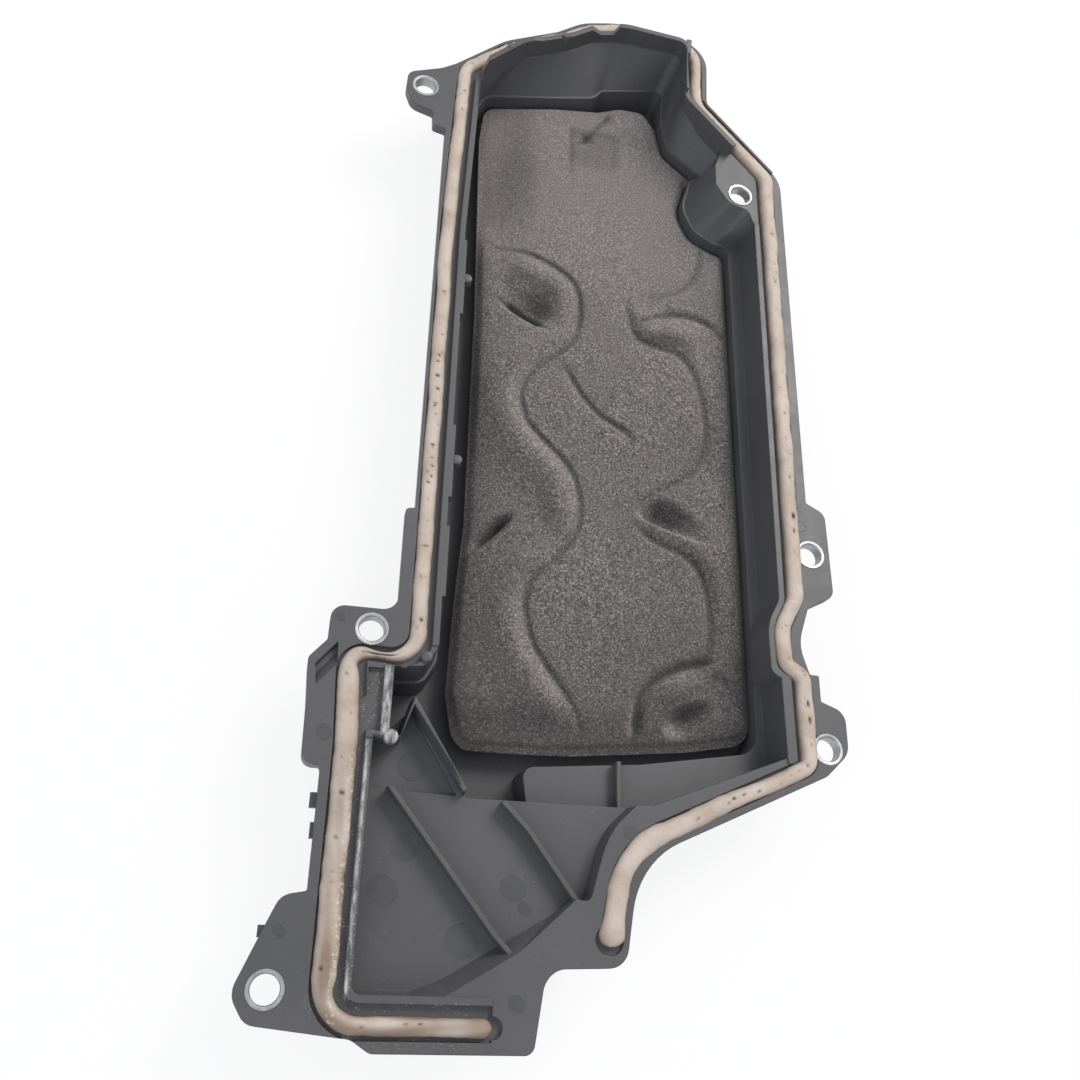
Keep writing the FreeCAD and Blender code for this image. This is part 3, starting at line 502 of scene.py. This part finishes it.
def turned_aluminium():
    """Aluminium sleeve, turned: bright grey with a fine uneven grain and a dull film."""
    material, tree, shader = new_material("turned_aluminium")
    place = object_place(tree)
    film = noise(tree, place, 3.0, 4.0)
    base = ramp(tree, film, [(0.3, "#a3a4a5"), (0.7, "#bdbebf")])
    tree.links.new(base, shader.inputs["Base Color"])
    shader.inputs["Metallic"].default_value = 1.0
    tree.links.new(levels(tree, film, 0.3, 0.7, 0.42, 0.55), shader.inputs["Roughness"])
    tree.links.new(bump(tree, noise(tree, place, 0.5, 2.0), 0.03, 0.5), shader.inputs["Normal"])
    return material


# The seal

def on_column(x, y):
    """1 on the seal's lower left run, where the bead is widest, easing to 0 beside it and past its
    ends."""
    return ease_down(np.abs(x - 16.8), 1.0, 3.0) * smooth_step(y, -4.0, 4.0) * ease_down(y, 98.0, 106.0)


def nearness(distance, reach):
    """Square of how near an end is: 1 at the end and 0 from the reach on."""
    return np.clip(1 - distance / reach, 0, 1) ** 2


def bead_section(x, y, length):
    """Half width, crown and sideways place of the bead along its length. They wave slowly, the width
    differs from run to run, the bead is pinched beside the left ear, it starts in a round tail and
    it ends in a swollen blob."""
    column = on_column(x, y)
    pinch = bell(np.hypot(x - 26.5, (y - 108.2) * 1.3), 6.5)
    left = ease_down(x, 45.0, 60.0) * smooth_step(y, 112.0, 122.0)
    right = smooth_step(x, 172.0, 182.0) * smooth_step(y, 70.0, 90.0)
    final = smooth_step(x, 92.0, 104.0) * ease_down(y, 50.0, 76.0)
    waves = 1.0 + 0.035 * ripple(6, 1, length, size=22.0) + 0.02 * ripple(6, 2, length, size=7.0)
    wider = 1.0 + 0.36 * column + 0.05 * left + 0.2 * right + 0.34 * final
    half = SEAL_WIDTH / 2 * waves * wider * (1.0 - 0.6 * pinch)
    crown = (GROOVE_DEPTH + SEAL_CROWN) * (1.0 + 0.04 * ripple(6, 3, length, size=15.0))
    crown = crown * (1.0 - 0.3 * pinch)
    aside = 0.18 * ripple(6, 4, length, size=35.0) + 0.2 * column - 0.25 * final
    to_end = length[-1] - length
    half = half * np.sqrt(1 - nearness(length, 3.0))
    half = half * (1 + 0.2 * ease_down(to_end, 4.0, 11.0)) * np.sqrt(1 - nearness(to_end, 4.2))
    crown = crown * (1 - 0.5 * nearness(length, 3.0)) * (1 - 0.4 * nearness(to_end, 3.4))
    return half, crown, aside


def bead_dirt_and_shade(x, y, length, lift, offset):
    """Painted shade along both sides of the bead where it meets the groove, and grime in patches over
    most of its lower left run and its straight run at the foot."""
    # Painted shade: darkest at the bead's foot, fading to nothing towards its crown.
    foot_shade = (1 - lift[None]) * 0.7 + 0 * offset
    column = 0.6 * on_column(x, y) * ease_down(y, 74.0, 82.0)
    straight = 1.1 * ease_down(y, -4.0, 20.0) * ease_down(x, 70.0, 80.0)
    patches = 0.5 + 0.5 * ripple(8, 6, length[:, None] + 0 * offset, offset * 3, size=18.0)
    return np.clip(foot_shade + (column + straight)[:, None] * patches, 0, 1)


def seal_bead(material):
    """Foamed bead: the seal's route divided evenly, with a domed section carried along it. The
    section is a bulging half ellipse on a flat foot, with fine wrinkles, and a bell is sunk into it
    at each pit."""
    line = rounded_line(SEAL_ROUTE, BEAD_STEP)
    count = len(line)
    travel = np.gradient(line, axis=0)
    travel /= np.linalg.norm(travel, axis=1)[:, None]
    across = np.stack([travel[:, 1], -travel[:, 0]], 1)
    length = np.arange(count) * BEAD_STEP
    x, y = line.T
    half, crown, aside = bead_section(x, y, length)
    undercut = 0.08 * math.pi
    angle = np.linspace(-undercut, math.pi + undercut, BEAD_SIDES)
    reach = np.cos(angle) / math.cos(undercut)
    lift = np.where(np.sin(angle) > 0, np.abs(np.sin(angle)) ** 0.68, 0.0)
    width = np.sign(reach) * np.abs(np.clip(reach, -1, 1)) ** 0.8
    offset = aside[:, None] + half[:, None] * width[None]
    wrinkle = 0.05 * ripple(10, 5, length[:, None] + 0 * offset, offset, size=3.0)
    pit_and_shade = np.zeros_like(offset)
    for place, sideways, long, wide, depth in bead_pits(length[-1], line):
        near = np.abs(length - place) < 3 * long
        pit_and_shade[near] += bell(length[near, None] - place, long) * bell(offset[near] - sideways, wide) * depth
    height = 0.02 - GROOVE_DEPTH + (crown[:, None] + wrinkle - pit_and_shade) * lift[None]
    points = np.stack([
        x[:, None] + across[:, :1] * offset,
        y[:, None] + across[:, 1:] * offset,
        height,
    ], -1)
    poles = [(*line[end], 1.0 - GROOVE_DEPTH) for end in (0, -1)]
    points = np.vstack([points.reshape(-1, 3), poles])
    piece = make_mesh("seal_bead", points, tube_faces(count, BEAD_SIDES), material)
    # Grime in patches, and painted shade along the bead's foot.
    dirt_and_shade = bead_dirt_and_shade(x, y, length, lift, offset)
    # The pits' depth, stored so that the material paints shade into them.
    set_attribute(piece, "pit_and_shade", np.append(np.clip(pit_and_shade * 1.6, 0, 1), [0, 0]))
    set_attribute(piece, "dirt_and_shade", np.append(dirt_and_shade, [0, 0]))
    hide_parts("foam_seal")
    return piece


def bead_pits(total, line):
    """Open pits in the bead's skin: place along it, sideways place, length, width and depth. Some
    stand where they are seen, given by X and Y, and the rest are strewn with a fixed seed."""
    seen = [
        (185.8, 181.5, 1.3, 0.7, 0.9),
        (185.8, 175.3, 0.9, 0.4, 0.8),
        (186.3, 103.4, 1.2, 0.6, 0.8),
        (186.3, 97.2, 1.1, 0.5, 0.8),
        (187.5, 165.5, 0.7, 0.3, 0.4),
        (39.6, 122.0, 0.6, 0.6, 0.8),
        (24.2, 108.4, 3.4, 0.3, 0.9),
        (29.5, 107.9, 2.6, 0.25, 0.8),
        (38.9, 150.6, 0.25, 1.3, 0.5),
        (39.0, 187.0, 0.2, 1.0, 0.4),
        (38.9, 211.0, 0.25, 1.2, 0.4),
        (38.9, 263.4, 0.35, 0.6, 0.7),
        (39.1, 232.7, 0.45, 0.6, 0.8),
        (38.5, 230.1, 0.4, 0.5, 0.8),
        (39.0, 223.3, 0.5, 0.8, 1.0),
        (39.6, 217.6, 0.5, 0.7, 0.9),
        (38.8, 209.7, 0.4, 0.6, 0.6),
        (39.5, 205.8, 0.3, 0.5, 0.5),
        (39.0, 192.3, 0.35, 0.8, 0.9),
        (39.9, 183.4, 0.35, 0.6, 0.7),
        (39.6, 179.1, 0.35, 0.5, 0.8),
        (37.8, 176.5, 0.35, 0.5, 0.8),
        (17.4, 60.0, 0.7, 0.7, 0.9),
        (15.2, 6.5, 0.6, 0.5, 0.8),
    ]
    found = []
    for x, y, long, wide, depth in seen:
        nearest = np.argmin(np.hypot(line[:, 0] - x, line[:, 1] - y))
        found.append((nearest * BEAD_STEP, (x - line[nearest, 0]) * 0.6, long, wide, depth))
    rng = np.random.default_rng(12)
    for place in rng.uniform(20, total - 20, 110):
        long = rng.uniform(0.3, 0.8)
        found.append((place, rng.normal(0, 0.8), long, rng.uniform(0.2, 0.4), rng.uniform(0.2, 0.7)))
    return found


# The pad

def corner_cut(line):
    """The line with its corners cut twice: each run gives its points at 1/4 and 3/4."""
    line = np.asarray(line, float)
    for _ in range(2):
        first, second = line[:-1], line[1:]
        inner = np.stack([0.75 * first + 0.25 * second, 0.25 * first + 0.75 * second], 1)
        line = np.vstack([line[:1], inner.reshape(-1, 2), line[-1:]])
    return line


def turned(x, y, x_middle, y_middle, degrees):
    """Distances from a middle along and across a direction that is turned by the degrees."""
    cosine, sine = math.cos(math.radians(degrees)), math.sin(math.radians(degrees))
    x, y = x - x_middle, y - y_middle
    return x * cosine + y * sine, y * cosine - x * sine


def pad_height(x, y, inside):
    """Height of the pad's face over its plateau. A crease is a narrow bell across a line of points
    with a lobe that rises on one side and fades. A hollow is a cubic ease in an oval that reaches
    differently far on its four sides. A hill is an oval bell. The pressed square, the upper left and
    the lower end lie lower, and the hem is a low step at the edge."""
    height = 0.5 * ripple(10, 21, x, y, size=60.0)
    for line, depth, width, lobe, slope, reach, ends in pad_creases():
        distance, side, share = to_line(x, y, corner_cut(line))
        fade = smooth_step(share, 0.0, ends) * smooth_step(1 - share, 0.0, ends)
        height -= depth * bell(distance, width) * fade
        raised = (1 - bell(distance, slope)) * bell(distance, reach)
        height += np.where(side * lobe < 0, abs(lobe), 0) * raised * fade
    for x_deepest, y_deepest, turn, back, on, depth, to_right, to_left in pad_pits():
        along, over = turned(x, y, x_deepest, y_deepest, turn)
        along = np.where(along > 0, along / on, along / back)
        over = np.where(over > 0, over / to_left, over / to_right)
        height -= depth * (1 - smooth_step(np.hypot(along, over), 0.0, 1.0))
    for x_middle, y_middle, long, wide, turn, rise in pad_hills():
        along, over = turned(x, y, x_middle, y_middle, turn)
        height += rise * bell(along, long) * bell(over, wide)
    height -= 0.6 * pressed_square(x, y)
    upper_left = ease_down(x, 62.0, 84.0) * smooth_step(y, 296.0, 326.0)
    lower_end = ease_down(y, 84.0, 102.0)
    height -= 2.6 * upper_left + 2.4 * lower_end
    hem = -2.6
    height = hem + (height - hem) * smooth_step(inside, 0.0, 3.5)
    return np.clip(height, -10.5, 3.8)


def pressed_square(x, y):
    """Share of the square that is pressed in near the pad's top: 1 within it, with soft sides."""
    wide = smooth_step(x, 94.0, 98.0) * ease_down(x, 117.0, 123.0)
    return wide * smooth_step(y, 360.0, 368.0) * ease_down(y, 384.0, 389.0)


def pad_creases():
    """Creases of the pad: points, depth, width, height of the lobe on the right of travel or, where
    negative, on the left, width of its slope, its reach, and the share that fades at the ends."""
    long_crease = [
        (64, 308.5), (74, 308), (84, 305), (94, 300), (99, 296), (102, 290), (103, 280), (102, 270),
        (99, 263), (92, 256), (85, 250), (80, 243), (77, 235), (78, 226), (81, 219), (88, 212),
        (96, 205), (101, 198), (103, 190), (104, 182), (102, 172), (98, 165), (91, 158), (85, 152),
        (82, 146), (81, 140), (83, 130), (86, 122), (91, 115), (97, 107), (102, 100), (106, 92),
    ]
    right_upper = [(162, 328), (160, 318), (157, 308), (151, 301), (145, 298), (138, 295)]
    right_fold = [(132, 281), (140, 285), (150, 287), (158, 286), (165, 283), (170, 279)]
    right_loop = [
        (125, 290), (125.5, 282), (127, 274), (131, 269), (140, 267), (148, 266), (153, 261),
        (157, 252), (159, 240), (160, 228), (158, 215), (152, 206), (145, 201), (138, 197), (131, 192),
    ]
    right_lower = [
        (127, 181), (131, 175), (138, 171), (146, 169), (153, 163), (157, 153), (158, 140),
        (157, 128), (152, 119),
    ]
    foot_loop = [(158, 124), (150, 121), (141, 118), (133, 113), (128, 107), (126, 100), (126, 88)]
    middle = [(97, 252), (100, 244), (105, 236), (111, 229), (118, 225), (127, 220)]
    middle_branch = [(111, 229), (115, 234), (118, 241)]
    top_hook = [(101, 379), (104, 381), (108, 386), (112, 392), (117, 399)]
    square_side = [(98, 386), (97.5, 376), (98, 360)]
    left_slit = [(66, 281), (70, 278.5), (76, 275.3), (82.5, 271.7), (88.5, 268.5)]
    lower_slit = [(60, 160), (66, 166.5), (74, 175)]
    return [
        (long_crease, 0.7, 1.2, 3.4, 6.0, 17.0, 0.07),
        (right_upper, 0.6, 2.0, -1.5, 6.0, 12.0, 0.25),
        (right_loop, 0.6, 1.5, -1.3, 6.0, 12.0, 0.06),
        (right_lower, 0.6, 1.4, -1.9, 6.0, 12.0, 0.08),
        (foot_loop, 2.2, 2.2, 0.0, 4.0, 10.0, 0.15),
        (middle, 0.9, 1.4, 0.8, 5.0, 9.0, 0.15),
        (middle_branch, 0.4, 1.8, 0.0, 4.0, 8.0, 0.3),
        (right_fold, 0.9, 1.9, 0.0, 4.0, 6.0, 0.3),
        (top_hook, 0.8, 2.6, 0.0, 4.0, 6.0, 0.2),
        (left_slit, 2.4, 1.9, 0.0, 4.0, 6.0, 0.3),
        (lower_slit, 1.8, 1.7, 0.0, 4.0, 6.0, 0.3),
        (square_side, 0.35, 1.6, 0.0, 4.0, 6.0, 0.2),
    ]


def pad_pits():
    """Hollows: deepest place, turn in degrees, reach back and on, depth, reach to the right and left."""
    return [
        (80.0, 273.0, -28.0, 19.0, 10.0, 3.0, 2.6, 15.0),
        (86.0, 276.0, -28.0, 26.0, 20.0, 2.2, 9.0, 25.0),
        (67.0, 168.0, 47.0, 17.0, 15.0, 5.6, 2.2, 6.0),
        (90.0, 168.0, 20.0, 30.0, 12.0, 1.6, 10.0, 30.0),
        (137.0, 182.5, -22.0, 12.0, 26.0, 5.4, 3.0, 13.0),
        (145.0, 99.5, 28.0, 11.0, 15.0, 5.0, 9.0, 5.5),
        (104.0, 381.0, 20.0, 7.0, 6.0, 1.4, 6.0, 6.0),
    ]


def pad_hills():
    """Hills: middle, half length, half width, turn in degrees and rise."""
    return [
        (143.0, 110.5, 11.0, 4.5, 28.0, 1.8),
        (148.0, 276.0, 14.0, 5.0, 0.0, 1.8),
        (165.0, 175.0, 8.0, 18.0, 0.0, 1.2),
        (165.0, 305.0, 7.0, 16.0, 0.0, 1.2),
        (130.0, 395.0, 12.0, 12.0, 0.0, 1.0),
    ]


def pad_grid():
    """Rows across the pad at even steps along Y, each spread between the outline's left and right
    edge and closer together near them. Gives x, y and the distance from the outline."""
    edge = rounded_line(PAD_OUTLINE, 1.0, closed=True)
    level = np.linspace(edge[:, 1].min() + 0.15, edge[:, 1].max() - 0.15, PAD_ROWS)
    loop = np.roll(edge[:-1], -np.argmin(edge[:-1, 1]), axis=0)
    peak = np.argmax(loop[:, 1])
    left, right = loop[:peak + 1], np.vstack([loop[peak:], loop[:1]])[::-1]
    x_left = np.interp(level, np.maximum.accumulate(left[:, 1]), left[:, 0])
    x_right = np.interp(level, np.maximum.accumulate(right[:, 1]), right[:, 0])
    even = np.linspace(0, 1, PAD_COLUMNS)
    share = 0.4 * (1 - np.cos(math.pi * even)) / 2 + 0.6 * even
    x = x_left[:, None] + (x_right - x_left)[:, None] * share[None]
    y = level[:, None] + 0 * x
    inside, _, _ = to_line(x.ravel(), y.ravel(), edge)
    return x, y, inside.reshape(x.shape)


def pad_faces():
    """The rows' vertices round the pad's edge in one loop, and triangles for its face, for the wall
    below that loop and for the foot, which joins the wall's two sides row by row and is closed by a
    fan at each end."""
    rows, columns = PAD_ROWS, PAD_COLUMNS
    i, j = np.meshgrid(np.arange(rows - 1), np.arange(columns - 1), indexing="ij")
    corner = (i * columns + j).ravel()
    face = np.stack([corner, corner + 1, corner + columns + 1, corner + columns], -1)
    rim = np.concatenate([
        np.arange(columns),
        np.arange(1, rows) * columns + columns - 1,
        (rows - 1) * columns + np.arange(columns - 2, -1, -1),
        np.arange(rows - 2, 0, -1) * columns,
    ])
    count = len(rim)
    below = rows * columns + np.arange(count)
    wall = np.stack([rim, below, np.roll(below, -1), np.roll(rim, -1)], -1)
    row = np.arange(rows)
    right = columns - 1 + row
    left = (count - row) % count
    foot = np.stack([left[1:-2], left[2:-1], right[2:-1], right[1:-2]], -1)
    first_row = right[0] - np.arange(columns)[::-1]
    last_row = left[-1] - np.arange(columns)
    first_hub = np.full(columns - 1, left[1])
    last_hub = np.full(columns - 1, left[-2])
    fans = np.vstack([
        np.stack([first_hub, first_row[1:], first_row[:-1]], -1),
        [[left[1], right[1], right[0]]],
        np.stack([last_hub, last_row[:-1], last_row[1:]], -1),
        [[left[-2], right[-1], right[-2]]],
    ])
    lower = np.vstack([triangles(foot), fans]) + rows * columns
    return rim, np.vstack([triangles(face), triangles(wall), lower])


def fold_shade_marks(x, y, inside):
    """Where painted shade darkens the felt: along the creases, along the hem at the foot, towards the
    edge below the pad's top, and in the pressed square."""
    marks = sum(
        np.clip(depth, 0, 1) * bell(to_line(x, y, corner_cut(line))[0], 1.3)
        for line, depth, *_ in pad_creases()
    )
    skirt = bell(inside - 3.4, 0.7) * ease_down(y, 90.0, 100.0)
    border = 0.5 * ease_down(inside, 1.5, 9.0) * ease_down(y, 290.0, 330.0)
    return np.clip(marks + skirt + border + 0.35 * pressed_square(x, y), 0, 1)


def acoustic_pad(material):
    """Pressed pad: its face is the grid lifted by pad_height, its wall leans in by up to 2.2 mm on
    each side on the way down, and its foot is flat, just over the floor. No cloth is simulated: the
    felt is stiff and holds the mould's form, so every crease and hollow is worked out from its place
    on the face."""
    lean = 2.2
    x, y, inside = pad_grid()
    z = PAD_TOP + pad_height(x, y, inside)
    rim, faces = pad_faces()
    upper = np.stack([x, y, z], -1).reshape(-1, 3)
    middle = upper[:, :2].min(0) / 2 + upper[:, :2].max(0) / 2
    half = upper[:, :2].max(0) - middle
    lower = upper[rim]
    lower[:, :2] = middle + (lower[:, :2] - middle) * (1 - lean / half)
    lower[:, 2] = 0.1 - TUB_DEPTH
    piece = make_mesh("pressed_pad", np.vstack([upper, lower]), faces, material)
    normals = np.empty(3 * (len(upper) + len(rim)), np.float32)
    piece.data.vertices.foreach_get("normal", normals)
    normals = normals.reshape(-1, 3)[:len(upper)]
    # Painted light and shade: how far the face leans towards the key lamp at the upper right, faded out
    # near the edge.
    painted_slope_light = (0.66 * normals[:, 0] + 0.75 * normals[:, 1]) * smooth_step(inside.ravel(), 2.0, 5.0)
    foot = np.zeros(len(rim))
    set_attribute(piece, "painted_slope_light", np.append(painted_slope_light, foot))
    # Depth below the plateau, from which the material paints shade; the foot gets a fixed depth of 3 mm.
    set_attribute(piece, "depth", np.append(PAD_TOP - z, foot + 3.0))
    # Share of painted shade in the creases, along the hem and near the edge.
    set_attribute(piece, "fold_shade", np.append(fold_shade_marks(x, y, inside), foot))
    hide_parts("acoustic_pad")
    return piece


# The sleeves

def sleeve(name, material):
    """Turned sleeve: a section with small bevels, carried round the screw's axis in even steps."""
    x, y = SCREWS[name]
    section = np.array([
        (4.5, SLEEVE_FOOT),
        (5.9, SLEEVE_FOOT),
        (6.0, SLEEVE_FOOT + 0.1),
        (6.0, SLEEVE_TOP - 0.15),
        (5.85, SLEEVE_TOP),
        (5.1, SLEEVE_TOP),
        (4.8, SLEEVE_TOP - 0.08),
        (4.5, SLEEVE_TOP - 0.45),
    ])
    turn = np.arange(SLEEVE_STEPS) * 2 * math.pi / SLEEVE_STEPS
    rings = np.stack([
        x + section[None, :, 0] * np.cos(turn)[:, None],
        y + section[None, :, 0] * np.sin(turn)[:, None],
        0 * turn[:, None] + section[None, :, 1],
    ], -1)
    sides = len(section)
    i, j = np.meshgrid(np.arange(SLEEVE_STEPS), np.arange(sides), indexing="ij")
    n, k = (i + 1) % SLEEVE_STEPS, (j + 1) % sides
    quads = np.stack([i * sides + j, i * sides + k, n * sides + k, n * sides + j], -1).reshape(-1, 4)
    piece = make_mesh("sleeve_" + name, rings.reshape(-1, 3), quads, material)
    piece.modifiers.new("edges", "EDGE_SPLIT").split_angle = math.radians(30)
    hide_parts("limiter_" + name)
    return piece


# Small forms of the housing

def round_boss(name, place, low, profile, material, smooth=True):
    """Small round form: a profile of (radius, height) from the outside in, carried round in even
    steps, closed by a point at the foot and one at the middle of the top."""
    x, y = place
    turn = np.arange(BOSS_STEPS) * 2 * math.pi / BOSS_STEPS
    radii = np.array([profile[0][0]] + [radius for radius, _ in profile])
    heights = np.array([low] + [height for _, height in profile])
    rings = np.stack([
        x + radii[:, None] * np.cos(turn),
        y + radii[:, None] * np.sin(turn),
        heights[:, None] + 0 * turn,
    ], -1)
    poles = np.array([[x, y, low], [x, y, heights[-1]]])
    points = np.vstack([rings.reshape(-1, 3), poles])
    faces = tube_faces(len(radii), BOSS_STEPS)
    piece = make_mesh(name, points, faces, material, smooth)
    if smooth:
        piece.modifiers.new("edges", "EDGE_SPLIT").split_angle = math.radians(35)
    return piece


def pins_and_marks(plastic, sleek):
    """Round pins where the lips end and on the strip at the left, two knobs on the rim, and the low
    rings that the mould's ejector pins left on the floors and on the face."""
    pins = [
        ("lip_pin_lower", (31.9, 79.7), -1.2, 1.7, 2.6),
        ("lip_pin_upper", (42.4, 108.9), -1.0, 1.3, 2.1),
        ("strip_pin_lower", (48.8, 188.2), -3.5, 0.7, 2.1),
        ("strip_pin_upper", (48.6, 273.0), -3.5, 0.7, 2.1),
        ("rim_knob_left", (61.0, 398.8), 5.0, 9.7, 1.6),
        ("rim_knob_right", (87.0, 412.8), 5.0, 9.7, 1.6),
    ]
    for name, place, low, high, radius in pins:
        rounding = [(1.0, -0.6), (0.94, -0.25), (0.75, 0.0), (0.3, 0.0)]
        profile = [(share * radius, high + rise) for share, rise in rounding]
        round_boss(name, place, low, profile, plastic)
    marks = [
        ((41.3, 72.4), -11.0, 5.0), ((33.9, 30.9), -9.0, 5.2), ((61.0, 16.1), -9.0, 5.5),
        ((77.9, 33.3), -9.0, 4.6), ((82.3, 26.9), -9.0, 2.5), ((40.0, 45.0), -9.0, 4.6),
        ((9.6, 79.8), 0.0, 2.8), ((11.2, 121.0), 0.0, 1.9), ((2.3, 16.6), 0.0, 2.2),
        ((117.1, 52.8), 0.0, 2.6), ((78.4, -2.4), 0.0, 2.8), ((191.1, 178.0), 0.0, 2.2),
    ]
    for count, (place, level, radius) in enumerate(marks, 1):
        ring = [(radius, 0.05), (radius - 0.1, 0.08), (radius - 0.22, 0.02), (0.3, 0.02)]
        profile = [(reach, level + rise) for reach, rise in ring]
        round_boss("ejector_mark_%02d" % count, place, level - 0.4, profile, sleek, smooth=False)


# Light, floor and camera

def make_stage():
    """Plain pale floor under the part and a soft, nearly white surround."""
    material = bpy.data.materials.new("plain_floor")
    material.use_nodes = True
    tree = material.node_tree
    tree.nodes.clear()
    output = add_node(tree, "ShaderNodeOutputMaterial")
    diffuse = add_node(tree, "ShaderNodeBsdfDiffuse", inputs={"Color": linear("#f4f4f4")})
    glow = add_node(tree, "ShaderNodeEmission", inputs={"Color": linear("#ffffff"), "Strength": 1.0})
    ray = add_node(tree, "ShaderNodeLightPath")
    seen = calculate(tree, "MAXIMUM", ray.outputs["Is Camera Ray"], ray.outputs["Is Glossy Ray"])
    seen = calculate(tree, "MULTIPLY", seen, 0.85)
    mix = add_node(tree, "ShaderNodeMixShader", {"Fac": seen})
    tree.links.new(diffuse.outputs["BSDF"], mix.inputs[1])
    tree.links.new(glow.outputs["Emission"], mix.inputs[2])
    tree.links.new(mix.outputs["Shader"], output.inputs["Surface"])
    reach = 6.0
    height = -BACK * MM - 0.0002
    corners = [(x * reach, y * reach, height) for x, y in ((-1, -1), (1, -1), (1, 1), (-1, 1))]
    mesh = bpy.data.meshes.new("floor")
    mesh.from_pydata(corners, [], [(0, 1, 2, 3)])
    floor = bpy.data.objects.new("floor", mesh)
    mesh.materials.append(material)
    bpy.context.scene.collection.objects.link(floor)
    world = bpy.data.worlds.new("surround")
    bpy.context.scene.world = world
    world.use_nodes = True
    tree = world.node_tree
    tree.nodes.clear()
    output = add_node(tree, "ShaderNodeOutputWorld")
    ray = add_node(tree, "ShaderNodeLightPath")
    dim = add_node(tree, "ShaderNodeBackground", inputs={"Color": linear("#e2e6ee"), "Strength": 0.75})
    white = add_node(tree, "ShaderNodeBackground", inputs={"Color": linear("#ffffff"), "Strength": 1.0})
    mix = add_node(tree, "ShaderNodeMixShader", {"Fac": ray.outputs["Is Camera Ray"]})
    tree.links.new(dim.outputs["Background"], mix.inputs[1])
    tree.links.new(white.outputs["Background"], mix.inputs[2])
    tree.links.new(mix.outputs["Shader"], output.inputs["Surface"])


def area_light(name, place, target, size, energy, colour):
    """Square soft lamp at a place, aimed at a target, in metres and watts."""
    data = bpy.data.lights.new(name, "AREA")
    data.shape = "SQUARE"
    data.size = size
    data.energy = energy
    data.color = linear(colour)[:3]
    lamp = bpy.data.objects.new(name, data)
    lamp.location = place
    aim = Vector(target) - Vector(place)
    lamp.rotation_euler = aim.to_track_quat("-Z", "Y").to_euler()
    bpy.context.scene.collection.objects.link(lamp)
    return lamp


def make_lights():
    """One soft lamp high on the far right and a larger, weaker one from the near left."""
    middle = (0.1, 0.2, 0.0)
    area_light("key", (0.8, 1.0, 1.15), middle, 0.7, 16.0, "#fffaf4")
    area_light("fill", (-0.8, -0.7, 1.1), middle, 1.2, 8.0, "#eef2ff")


def make_camera():
    """Camera above the lower left screw, turned as the photograph is."""
    data = bpy.data.cameras.new("camera")
    data.sensor_width = 36.0
    data.lens = 35.17
    camera = bpy.data.objects.new("camera", data)
    right = Vector((0.97200, 0.02208, 0.23396))
    up = Vector((-0.11265, 0.91750, 0.38145))
    back = right.cross(up)
    turn = Matrix((right, up, back)).transposed()
    camera.matrix_world = Matrix.Translation(Vector((-0.2, -0.1, 357.7)) * MM) @ turn.to_4x4()
    bpy.context.scene.collection.objects.link(camera)
    bpy.context.scene.camera = camera


def dress(node_name, material):
    """Gives a CAD node its finished material."""
    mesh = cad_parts[node_name].data
    mesh.materials.clear()
    mesh.materials.append(material)


def main():
    """Builds every piece of the cover, its materials, the stage, the lights and the camera."""
    bpy.context.scene.view_settings.view_transform = "Standard"
    plastic = moulded_plastic()
    foam = foamed_seal()
    felt = pressed_felt()
    metal = turned_aluminium()
    dress("cover_housing", plastic)
    dress("foam_seal", foam)
    dress("acoustic_pad", felt)
    for name in SCREWS:
        dress("limiter_" + name, metal)
        sleeve(name, metal)
    seal_bead(foam)
    acoustic_pad(felt)
    pins_and_marks(plastic, smooth_plastic())
    make_stage()
    make_lights()
    make_camera()


main()
